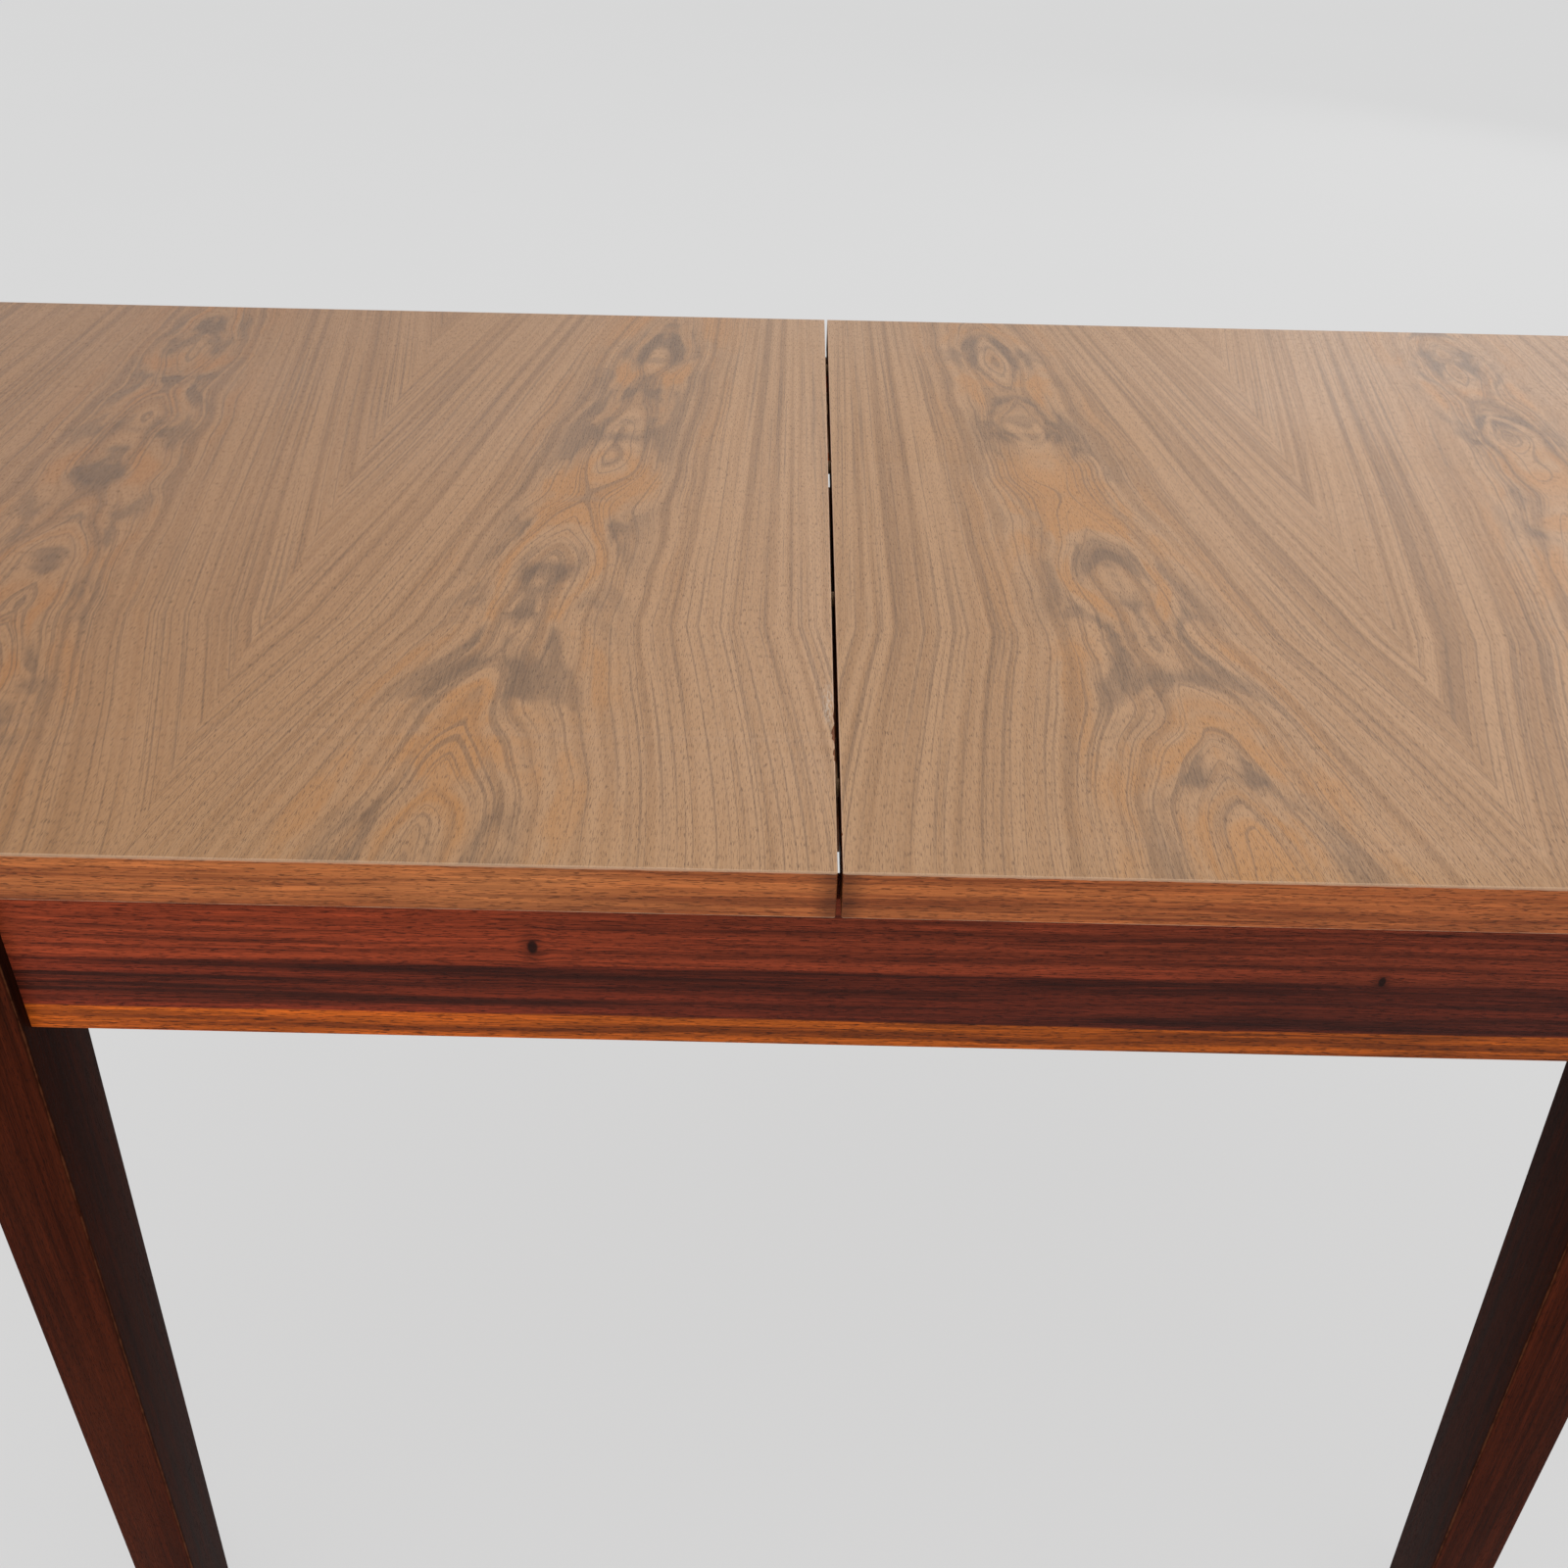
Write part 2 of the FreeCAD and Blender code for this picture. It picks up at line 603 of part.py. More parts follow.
def leaf():
    """The loose leaf, lying in the bays of the cross rails with its length along the table."""
    level = "leaf_bottom + board_tall / 2"
    bores = group("leaf_peg_bores", [
        cylinder(f"leaf_peg_bore_{index}", (peg_offset(index), "leaf_length / 2 - peg_seat", level),
                 Y_AXIS, "peg_radius", "peg_seat") for index in PEGS])
    sockets = group("leaf_peg_sockets", [
        cylinder(f"leaf_peg_socket_{index}", (peg_offset(index), "-leaf_length / 2", level),
                 Y_AXIS, "peg_radius + peg_clearance", "peg_reach") for index in PEGS])
    inner_x = "half_width - lipping_thick"
    inner_y = "leaf_length / 2 - lipping_thick"

    core = box("leaf_board", (f"-({inner_x})", f"-({inner_y})", "leaf_bottom"),
               (f"2 * ({inner_x})", f"2 * ({inner_y})", "board_tall"))
    keep(cut("leaf_core_cut", core, [bores, sockets]), "leaf_core")
    for name, end, holes in (("peg", "rear", bores), ("socket", "front", sockets)):
        low = (f"-({inner_x})", end_low(end, inner_y, "lipping_thick"), "leaf_bottom")
        strip = box(f"leaf_{name}_strip", low, (f"2 * ({inner_x})", "lipping_thick", "board_tall"))
        keep(cut(f"leaf_{name}_cut", strip, [holes]), f"leaf_{name}_side_lipping")
    for side in SIDES:
        low = (across(side, inner_x, "lipping_thick"), "-leaf_length / 2", "leaf_bottom")
        keep(box(f"leaf_{side}_strip", low, ("lipping_thick", "leaf_length", "board_tall")),
             f"leaf_{side}_lipping")
    low = ("-half_width", "-leaf_length / 2", "leaf_bottom + board_tall")
    keep(box("leaf_veneer", low, ("top_width", "leaf_length", "veneer_thick")), "leaf_face_veneer")
    pegs = [cylinder(f"leaf_peg_{index}", (peg_offset(index), "leaf_length / 2 - peg_seat", level),
                     Y_AXIS, "peg_radius", "peg_seat + peg_reach") for index in PEGS]
    keep(group("leaf_peg_set", pegs), "leaf_pegs")


# ---------------------------------------------------------------- build, check and write

keeper_screws = make_keeper_screws()
for half in SIDES:
    half_top(half)
seam_pegs()
legs()
glides()
corner_blocks()
long_aprons()
end_aprons()
cross_rails()
keepers()
leaf()
doc.recompute()

for item in doc.Objects:
    if "Invalid" in item.State or "Error" in item.State:
        raise RuntimeError(f"{item.Label} did not rebuild: {item.State}")
    if item.TypeId == "PartDesign::Pocket" and item.Shape.Volume >= item.BaseFeature.Shape.Volume:
        raise RuntimeError(f"{item.Label} cuts nothing")
for piece in pieces:
    if piece.Shape.isNull() or not piece.Shape.isValid() or not piece.Shape.Solids:
        raise RuntimeError(f"{piece.Label} has no valid solid")

os.makedirs("parts", exist_ok=True)
for piece in pieces:
    piece.Shape.exportStep(f"parts/{piece.Label}.step")
    box_of = piece.Shape.BoundBox
    print(f"{piece.Label}: {len(piece.Shape.Solids)} solids, {piece.Shape.Volume / 1000:.1f} cm3, "
          f"X {box_of.XMin:.1f} to {box_of.XMax:.1f}, Y {box_of.YMin:.1f} to {box_of.YMax:.1f}, "
          f"Z {box_of.ZMin:.1f} to {box_of.ZMax:.1f}")
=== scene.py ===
import json
import math

import bmesh
import bpy
from bpy.props import FloatProperty, FloatVectorProperty, PointerProperty
from mathutils import Matrix, Vector


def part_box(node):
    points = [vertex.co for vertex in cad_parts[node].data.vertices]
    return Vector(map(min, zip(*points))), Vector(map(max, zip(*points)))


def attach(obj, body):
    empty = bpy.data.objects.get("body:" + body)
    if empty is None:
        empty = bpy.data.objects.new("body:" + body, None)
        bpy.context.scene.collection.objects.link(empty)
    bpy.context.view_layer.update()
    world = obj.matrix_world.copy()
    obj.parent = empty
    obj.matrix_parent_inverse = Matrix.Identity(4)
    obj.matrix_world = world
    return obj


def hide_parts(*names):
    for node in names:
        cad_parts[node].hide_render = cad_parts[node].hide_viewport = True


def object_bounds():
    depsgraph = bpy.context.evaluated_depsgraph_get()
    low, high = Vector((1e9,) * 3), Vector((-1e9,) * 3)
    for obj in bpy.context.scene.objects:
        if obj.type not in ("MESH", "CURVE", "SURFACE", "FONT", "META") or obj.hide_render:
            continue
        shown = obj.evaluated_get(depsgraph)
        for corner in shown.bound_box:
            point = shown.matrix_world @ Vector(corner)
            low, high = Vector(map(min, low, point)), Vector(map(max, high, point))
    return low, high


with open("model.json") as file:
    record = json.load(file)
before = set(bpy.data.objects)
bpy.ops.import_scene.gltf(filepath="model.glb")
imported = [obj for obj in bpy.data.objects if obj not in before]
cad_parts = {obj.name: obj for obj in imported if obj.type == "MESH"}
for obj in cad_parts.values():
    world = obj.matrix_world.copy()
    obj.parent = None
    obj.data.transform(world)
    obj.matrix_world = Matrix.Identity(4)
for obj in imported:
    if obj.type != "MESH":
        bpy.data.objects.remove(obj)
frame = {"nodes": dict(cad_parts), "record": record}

bl_info = {
    "name": "Extendable Dining Table",
    "version": (1, 0, 0),
    "blender": (4, 5, 0),
    "location": "View3D > Sidebar > Table",
    "description": "Finishes an extendable dining table: veneers, lippings, aprons, legs and slides",
    "category": "Add Mesh",
}

CAD_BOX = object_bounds()
SIDES = ("left", "right")
ENDS = ("front", "rear")
CORNERS = [f"{end}_{side}" for end in ENDS for side in SIDES]
BODY_OF = {node: body for body, nodes in frame["record"]["behaviour"]["bodies"].items() for node in nodes}
SLOT_OF = {item["node"]: item["material_slot"] for item in frame["record"]["subparts"]}

BACK_EDGE = CAD_BOX[1][1]
FRONT_EDGE = CAD_BOX[0][1]
SEAM_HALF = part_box("right_face_veneer")[0][0]
VENEER_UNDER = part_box("right_face_veneer")[0][2]
TOP_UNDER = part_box("right_top_core")[0][2]
APRON_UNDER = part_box("front_apron")[0][2]


# ---------------------------------------------------------------- sizes and colours

class TableSizes(bpy.types.PropertyGroup):
    sheet_width: FloatProperty(
        name="Veneer sheet", description="Width of one sheet of the book-matched veneer",
        default=0.35, min=0.1, unit="LENGTH")
    veneer_ease: FloatProperty(
        name="Veneer arris", description="Rounding of the top's upper arris",
        default=0.0005, min=0.0, unit="LENGTH")
    lipping_ease: FloatProperty(
        name="Lipping arris", description="Rounding of the lippings' lower and end arrises",
        default=0.0012, min=0.0, unit="LENGTH")
    apron_ease: FloatProperty(
        name="Apron arris", description="Rounding of the aprons' lower arrises",
        default=0.0012, min=0.0, unit="LENGTH")
    leg_ease: FloatProperty(
        name="Leg arris", description="Rounding of the legs' long arrises",
        default=0.0022, min=0.0, unit="LENGTH")
    sapwood: FloatProperty(
        name="Sapwood", description="Height of the pale strip along the aprons' lower edge",
        default=0.0175, min=0.0, unit="LENGTH")
    red_band: FloatProperty(
        name="Red band", description="Where the aprons' redder upper band starts, above their lower edge",
        default=0.052, min=0.0, unit="LENGTH")


def colour(name, description, default):
    return FloatVectorProperty(name=name, description=description, default=default,
                               subtype="COLOR", size=3, min=0.0, max=1.0)


class TableColours(bpy.types.PropertyGroup):
    veneer_pale: colour("Veneer, pale", "Early wood of the face veneer", (0.440, 0.252, 0.132))
    veneer_mid: colour("Veneer, mid", "Ground colour of the face veneer", (0.350, 0.188, 0.090))
    veneer_line: colour("Veneer, lines", "Late wood lines of the face veneer", (0.165, 0.094, 0.055))
    veneer_glow: colour("Veneer, orange", "Orange flames beside the crowns", (0.450, 0.205, 0.066))
    veneer_patch: colour("Veneer, dark", "Grey-brown patches in the crowns", (0.130, 0.080, 0.052))
    # Bare wood along a rubbed arris, also lighter as a painted highlight on the arris
    arris: colour("Worn arris", "Bare wood where an arris is worn", (0.62, 0.40, 0.26))
    lipping_pale: colour("Lipping, pale", "Pale grain of the lippings", (0.50, 0.155, 0.045))
    lipping_dark: colour("Lipping, dark", "Dark grain of the lippings", (0.23, 0.058, 0.018))
    apron_red: colour("Apron, red", "Upper band of the aprons", (0.300, 0.050, 0.018))
    apron_dark: colour("Apron, dark", "Middle band of the aprons", (0.215, 0.032, 0.0130))
    apron_sap: colour("Apron, sapwood", "Strip along the aprons' lower edge", (0.49, 0.106, 0.0120))
    leg_pale: colour("Leg, pale", "Pale grain of the legs", (0.066, 0.0125, 0.0048))
    leg_dark: colour("Leg, dark", "Dark grain of the legs", (0.030, 0.0068, 0.0030))
    beech_pale: colour("Beech, pale", "Pale grain of the slide bars and rails", (0.52, 0.33, 0.18))
    beech_dark: colour("Beech, dark", "Dark grain of the slide bars and rails", (0.34, 0.19, 0.09))
    backing_pale: colour("Backing, pale", "Pale grain of the tops' undersides", (0.30, 0.16, 0.085))
    backing_dark: colour("Backing, dark", "Dark grain of the tops' undersides", (0.17, 0.085, 0.045))
    steel: colour("Steel", "Zinc-plated screws, bolts and keepers", (0.52, 0.51, 0.48))
    glide: colour("Glide", "Nylon glides under the feet", (0.045, 0.030, 0.022))
    floor: colour("Floor", "Studio floor", (0.70, 0.70, 0.70))


def sizes():
    return bpy.context.scene.table_sizes


def colours():
    return bpy.context.scene.table_colours


# ---------------------------------------------------------------- node recipes

class Recipe:
    """Adds shader nodes to one tree, so that a finish reads as a list of steps."""

    def __init__(self, tree):
        self.tree = tree

    def feed(self, socket, value):
        if isinstance(value, bpy.types.NodeSocket):
            self.tree.links.new(value, socket)
        elif socket.type == "RGBA" and len(value) == 3:
            socket.default_value = (*value, 1.0)
        else:
            socket.default_value = value

    def node(self, kind, inputs=(), **settings):
        item = self.tree.nodes.new(kind)
        for key, value in settings.items():
            setattr(item, key, value)
        for key, value in dict(inputs).items():
            self.feed(item.inputs[key], value)
        return item

    def math(self, operation, *values):
        item = self.node("ShaderNodeMath", operation=operation)
        for socket, value in zip(item.inputs, values):
            self.feed(socket, value)
        return item.outputs[0]

    def split(self, vector):
        return self.node("ShaderNodeSeparateXYZ", {"Vector": vector}).outputs

    def vector(self, x, y, z):
        return self.node("ShaderNodeCombineXYZ", {"X": x, "Y": y, "Z": z}).outputs[0]

    def stretch(self, vector, scale):
        item = self.node("ShaderNodeVectorMath", operation="MULTIPLY")
        self.feed(item.inputs[0], vector)
        self.feed(item.inputs[1], scale)
        return item.outputs[0]

    def noise(self, vector, detail=2.0, roughness=0.5, distortion=0.0):
        item = self.node("ShaderNodeTexNoise", {
            "Vector": vector, "Scale": 1.0, "Detail": detail,
            "Roughness": roughness, "Distortion": distortion})
        return item.outputs["Fac"]

    def between(self, value, low, high):
        """0 below low, 1 above high, and smooth between them. high may be the lower one."""
        item = self.node("ShaderNodeMapRange", {"Value": value, "From Min": low, "From Max": high},
                         interpolation_type="SMOOTHSTEP")
        return item.outputs[0]

    def mix(self, factor, first, second, mode="MIX"):
        item = self.node("ShaderNodeMix", data_type="RGBA", blend_type=mode)
        self.feed(item.inputs[0], factor)
        self.feed(item.inputs[6], first)
        self.feed(item.inputs[7], second)
        return item.outputs[2]


def new_group(name, inputs, outputs):
    """An empty node group with named sockets, its recipe, its input sockets and its output node."""
    tree = bpy.data.node_groups.new(name, "ShaderNodeTree")
    for label, kind in inputs:
        tree.interface.new_socket(label, in_out="INPUT", socket_type=kind)
    for label in outputs:
        tree.interface.new_socket(label, in_out="OUTPUT", socket_type="NodeSocketFloat")
    recipe = Recipe(tree)
    entry = recipe.node("NodeGroupInput")
    result = recipe.node("NodeGroupOutput")
    return tree, recipe, entry.outputs, result


def group(name, build):
    """A node group by name, built the first time that a material asks for it."""
    return bpy.data.node_groups.get(name) or build(name)


def build_crown_figure(name):
    """Crown-cut figure of book-matched sheets: X across the sheets from the seam, Y along the grain."""
    tree, cut, given, result = new_group(
        name, [("Place", "NodeSocketVector"), ("Sheet", "NodeSocketFloat")],
        ["Bands", "Lines", "Dark", "Glow"])
    x, y, z = cut.split(given["Place"])
    sheet = cut.math("FLOOR", cut.math("DIVIDE", x, given["Sheet"]))
    across = cut.math("PINGPONG", cut.math("ABSOLUTE", x), given["Sheet"])
    along = cut.math("SUBTRACT", y, FRONT_EDGE)
    middle = cut.math("SUBTRACT", 0.215, cut.math("MULTIPLY", along, 0.09))

    drift = cut.noise(cut.vector(cut.math("MULTIPLY", across, 4.0), cut.math("MULTIPLY", along, 1.9),
                                 cut.math("MULTIPLY", sheet, 0.12)), detail=1.0)
    ripple = cut.noise(cut.vector(cut.math("MULTIPLY", across, 30.0), cut.math("MULTIPLY", along, 6.0),
                                  sheet), detail=2.0)
    drift = cut.math("MULTIPLY", cut.math("SUBTRACT", drift, 0.5),
                     cut.math("MULTIPLY", cut.between(across, 0.01, 0.20), 0.024))
    drift = cut.math("ADD", drift,
                     cut.math("MULTIPLY", cut.math("SUBTRACT", ripple, 0.5), 0.0016))
    ratio = cut.math("SUBTRACT", cut.math("DIVIDE", across, middle), 1.0)
    inner = cut.math("MULTIPLY", cut.math("MINIMUM", ratio, 0.0), 0.19)
    beyond = cut.math("MAXIMUM", cut.math("SUBTRACT", across, middle), 0.0)
    outer = cut.math("MULTIPLY", beyond, cut.math("MULTIPLY_ADD", along, 0.5, 1.0))
    offset = cut.math("ADD", cut.math("ADD", inner, outer), drift)
    beside = cut.math("ABSOLUTE", offset)

    swell = cut.noise(cut.vector(cut.math("MULTIPLY", across, 6.0), cut.math("MULTIPLY", along, 5.0),
                                 cut.math("MULTIPLY", sheet, 0.15)), detail=2.0)
    climb = cut.math("MINIMUM", cut.math("MULTIPLY", along, 0.24),
                     cut.math("MULTIPLY_ADD", along, 0.03, 0.052))
    swell = cut.math("MULTIPLY", cut.math("SUBTRACT", swell, 0.5),
                     cut.math("MULTIPLY", cut.between(beside, 0.12, 0.02), 0.080))
    depth = cut.math("ADD", climb, swell)
    depth = cut.math("ABSOLUTE", depth)
    sharp = 1.35
    radius = cut.math("POWER", cut.math("ADD", cut.math("POWER", beside, sharp),
                                        cut.math("POWER", depth, sharp)), 1.0 / sharp)
    bands = cut.noise(cut.vector(cut.math("MULTIPLY", radius, 120.0), cut.math("MULTIPLY", along, 0.8),
                                 cut.math("MULTIPLY", sheet, 0.2)), detail=3.0, roughness=0.55)
    lines = cut.noise(cut.vector(cut.math("MULTIPLY", radius, 480.0), cut.math("MULTIPLY", along, 2.5),
                                 sheet), detail=2.0, roughness=0.6)
    cut.feed(result.inputs["Bands"], bands)
    cut.feed(result.inputs["Lines"], lines)

    near = cut.between(beside, 0.085, 0.012)
    patch = cut.noise(cut.vector(cut.math("MULTIPLY", radius, 34.0), cut.math("MULTIPLY", along, 8.0),
                                 cut.math("MULTIPLY", sheet, 0.25)), detail=3.0, roughness=0.6,
                      distortion=0.5)
    cut.feed(result.inputs["Dark"], cut.math("MULTIPLY", cut.between(patch, 0.50, 0.61), near))
    wide = cut.between(beside, 0.12, 0.02)
    cut.feed(result.inputs["Glow"], cut.math("MULTIPLY", cut.between(patch, 0.50, 0.38), wide))
    return tree


def build_open_pores(name):
    """Short dashes along X, as the open pores of walnut show on a planed face, and fine fibres."""
    tree, cut, given, result = new_group(name, [("Place", "NodeSocketVector")], ["Pores", "Fibre"])
    dashes = cut.noise(cut.stretch(given["Place"], (170.0, 2300.0, 2300.0)), detail=1.0)
    cut.feed(result.inputs["Pores"], cut.between(dashes, 0.57, 0.68))
    fibre = cut.noise(cut.stretch(given["Place"], (30.0, 1100.0, 1100.0)), detail=3.0, roughness=0.65)
    cut.feed(result.inputs["Fibre"], fibre)
    return tree


def build_long_grain(name):
    """Straight grain along X: broad streaks and narrow lines, slightly wavy."""
    tree, cut, given, result = new_group(name, [("Place", "NodeSocketVector")], ["Streaks", "Lines"])
    wave = cut.noise(cut.stretch(given["Place"], (3.0, 9.0, 9.0)), detail=1.0)
    lift = cut.math("MULTIPLY", cut.math("SUBTRACT", wave, 0.5), 0.012)
    x, y, z = cut.split(given["Place"])
    bent = cut.vector(x, cut.math("ADD", y, lift), cut.math("ADD", z, lift))
    streaks = cut.noise(cut.stretch(bent, (2.6, 190.0, 190.0)), detail=4.0, roughness=0.65)
    cut.feed(result.inputs["Streaks"], streaks)
    lines = cut.noise(cut.stretch(bent, (14.0, 900.0, 900.0)), detail=2.0, roughness=0.6)
    cut.feed(result.inputs["Lines"], lines)
    return tree


def build_worn_highlit_edge(name):
    """A broken band of wear and painted highlight where a distance to an arris is small."""
    tree, cut, given, result = new_group(
        name, [("Place", "NodeSocketVector"), ("Distance", "NodeSocketFloat"), ("Width", "NodeSocketFloat")],
        ["Worn"])
    rub = cut.noise(cut.stretch(given["Place"], (60.0, 60.0, 60.0)), detail=4.0, roughness=0.7)
    width = cut.math("MULTIPLY", given["Width"], cut.math("MULTIPLY", rub, 1.6))
    share = cut.math("DIVIDE", given["Distance"], width)
    cut.feed(result.inputs["Worn"], cut.between(share, 1.0, 0.4))
    return tree


def place_group(cut, name, build, inputs):
    item = cut.node("ShaderNodeGroup", node_tree=group(name, build))
    for key, value in inputs.items():
        cut.feed(item.inputs[key], value)
    return item.outputs


def new_finish(name):
    """An empty material, its recipe, its Principled shader and the object's own coordinates."""
    material = bpy.data.materials.new(name)
    material.use_nodes = True
    material.node_tree.nodes.clear()
    cut = Recipe(material.node_tree)
    shader = cut.node("ShaderNodeBsdfPrincipled")
    cut.node("ShaderNodeOutputMaterial", {"Surface": shader.outputs[0]})
    place = cut.node("ShaderNodeTexCoord").outputs["Object"]
    return material, cut, shader, place


def bump(cut, shader, height, distance):
    item = cut.node("ShaderNodeBump", {"Strength": 1.0, "Distance": distance, "Height": height})
    cut.feed(shader.inputs["Normal"], item.outputs[0])


def turned(cut, place, along):
    """Coordinates whose X runs along the grain."""
    x, y, z = cut.split(place)
    order = {"X": (x, y, z), "Y": (y, x, z), "Z": (z, x, y)}[along]
    return cut.vector(*order)


# ---------------------------------------------------------------- finishes

def arris_distance(cut, sides, faces):
    """How far a point is from the nearest arris: small only where it is near two faces at once."""
    return cut.math("MAXIMUM", smallest(cut, sides), smallest(cut, faces))


def smallest(cut, values):
    least = values[0]
    for value in values[1:]:
        least = cut.math("MINIMUM", least, value)
    return least


def veneer_finish(name, leaf):
    """Satin-lacquered face veneer: crowns, late wood lines, orange flames, dark patches and open pores."""
    shade = colours()
    material, cut, shader, place = new_finish(name)
    x, y, z = cut.split(place)
    if leaf:
        place = cut.vector(cut.math("ADD", y, 0.52), x, z)
        x, y, z = cut.split(place)
    figure = place_group(cut, "crown figure", build_crown_figure,
                         {"Place": place, "Sheet": sizes().sheet_width})
    pores = place_group(cut, "open pores", build_open_pores, {"Place": cut.vector(y, x, z)})
    body = cut.mix(cut.between(figure["Bands"], 0.36, 0.60), shade.veneer_mid, shade.veneer_pale)
    body = cut.mix(cut.math("MULTIPLY", figure["Glow"], 0.80), body, shade.veneer_glow)
    line = cut.math("MULTIPLY", cut.between(figure["Lines"], 0.51, 0.64), 0.60)
    body = cut.mix(line, body, shade.veneer_line)
    streak = cut.math("MULTIPLY", cut.between(figure["Bands"], 0.45, 0.32), 0.38)
    body = cut.mix(streak, body, shade.veneer_line)
    body = cut.mix(cut.math("MULTIPLY", figure["Dark"], 0.82), body, shade.veneer_patch)
    fibre = cut.between(pores["Fibre"], 0.30, 0.70)
    body = cut.mix(cut.math("MULTIPLY", fibre, 0.30), body, (0.54, 0.32, 0.17))
    body = cut.mix(cut.math("MULTIPLY", pores["Pores"], 0.60), body, (0.10, 0.055, 0.035))
    if not leaf:
        deeper = cut.math("MULTIPLY", cut.between(x, 0.05, -0.60), 0.9)
        body = cut.mix(deeper, body, cut.mix(1.0, body, (0.74, 0.64, 0.50), "MULTIPLY"))
        # The back, end and seam arrises are lightened towards the arris colour: bare wood from wear, and a
        # painted highlight.
        edges = [cut.math("SUBTRACT", BACK_EDGE, cut.math("ABSOLUTE", y)),
                 cut.math("SUBTRACT", CAD_BOX[1][0], cut.math("ABSOLUTE", x)),
                 cut.math("SUBTRACT", cut.math("ABSOLUTE", x), SEAM_HALF)]
        worn_highlit = place_group(cut, "worn edge", build_worn_highlit_edge,
                           {"Place": place, "Distance": smallest(cut, edges), "Width": 0.0011})
        body = cut.mix(cut.math("MULTIPLY", worn_highlit["Worn"], 0.50), body, shade.arris)
        scuff_y = cut.math("ABSOLUTE", cut.math("SUBTRACT", y, -0.268))
        scuff = cut.math("MULTIPLY", cut.between(scuff_y, 0.030, 0.006),
                         cut.between(cut.math("ABSOLUTE", cut.math("ADD", x, 0.004)), 0.005, 0.001))
        rub = cut.between(cut.noise(cut.stretch(place, (900.0, 260.0, 1.0)), detail=3.0), 0.42, 0.6)
        body = cut.mix(cut.math("MULTIPLY", cut.math("MULTIPLY", scuff, rub), 0.35), body, (0.62, 0.55, 0.47))
    cut.feed(shader.inputs["Base Color"], body)
    cloud = cut.noise(cut.stretch(place, (6.0, 6.0, 6.0)), detail=3.0)
    rough = cut.math("ADD", 0.36, cut.math("MULTIPLY", cloud, 0.12))
    rough = cut.math("ADD", rough, cut.math("MULTIPLY", pores["Pores"], 0.15))
    cut.feed(shader.inputs["Roughness"], rough)
    shader.inputs["Specular IOR Level"].default_value = 0.25
    height = cut.math("SUBTRACT", cut.math("MULTIPLY", pores["Fibre"], 0.25), pores["Pores"])
    bump(cut, shader, height, 0.00006)
    return material


def lipping_finish(name, along):
    """Oiled edge lipping: fine streaks along its length, pores, painted shade near the seam, and bare wood with a
    painted highlight at its lower arris.
    """
    shade = colours()
    material, cut, shader, place = new_finish(name)
    x, y, z = cut.split(place)
    run = turned(cut, place, along)
    grain = place_group(cut, "long grain", build_long_grain, {"Place": run})
    pores = place_group(cut, "open pores", build_open_pores, {"Place": run})
    body = cut.mix(cut.between(grain["Streaks"], 0.34, 0.64), shade.lipping_dark, shade.lipping_pale)
    body = cut.mix(cut.math("MULTIPLY", cut.between(grain["Lines"], 0.55, 0.70), 0.55),
                   body, shade.lipping_dark)
    slow = cut.noise(cut.stretch(run, (2.2, 14.0, 14.0)), detail=2.0)
    body = cut.mix(cut.math("MULTIPLY", cut.between(slow, 0.52, 0.70), 0.45), body, (0.46, 0.20, 0.075))
    flecks = cut.math("MULTIPLY", cut.between(pores["Fibre"], 0.46, 0.66), 0.45)
    body = cut.mix(flecks, body, cut.mix(1.0, body, (1.8, 1.7, 1.6), "MULTIPLY"))
    body = cut.mix(cut.math("MULTIPLY", pores["Pores"], 0.7), body, (0.06, 0.018, 0.008))
    reddish = cut.between(x, -0.15, 0.40)
    body = cut.mix(cut.math("MULTIPLY", reddish, 0.45), body,
                   cut.mix(1.0, body, (0.62, 0.48, 0.50), "MULTIPLY"))
    # Painted shade: the lipping darkens towards the seam, fully within 3 mm of it, where the gap between the
    # halves lies in shade.
    seam_gap_shade = cut.between(cut.math("ABSOLUTE", x), 0.016, 0.003)
    body = cut.mix(cut.math("MULTIPLY", seam_gap_shade, 0.55), body, (0.045, 0.014, 0.007))
    # Lipping arrises lightened towards the arris colour: wear and a painted highlight.
    sides = [cut.math("SUBTRACT", BACK_EDGE, cut.math("ABSOLUTE", y)),
             cut.math("SUBTRACT", CAD_BOX[1][0], cut.math("ABSOLUTE", x))]
    faces = [cut.math("SUBTRACT", z, TOP_UNDER), cut.math("SUBTRACT", VENEER_UNDER, z)]
    worn_highlit = place_group(cut, "worn edge", build_worn_highlit_edge,
                       {"Place": place, "Distance": arris_distance(cut, sides, faces), "Width": 0.0012})
    body = cut.mix(cut.math("MULTIPLY", worn_highlit["Worn"], 0.6), body, shade.arris)
    cut.feed(shader.inputs["Base Color"], body)
    cut.feed(shader.inputs["Roughness"],
             cut.math("ADD", 0.42, cut.math("MULTIPLY", grain["Streaks"], 0.14)))
    shader.inputs["Specular IOR Level"].default_value = 0.12
    height = cut.math("SUBTRACT", cut.math("MULTIPLY", grain["Lines"], 0.3), pores["Pores"])
    bump(cut, shader, height, 0.00008)
    return material


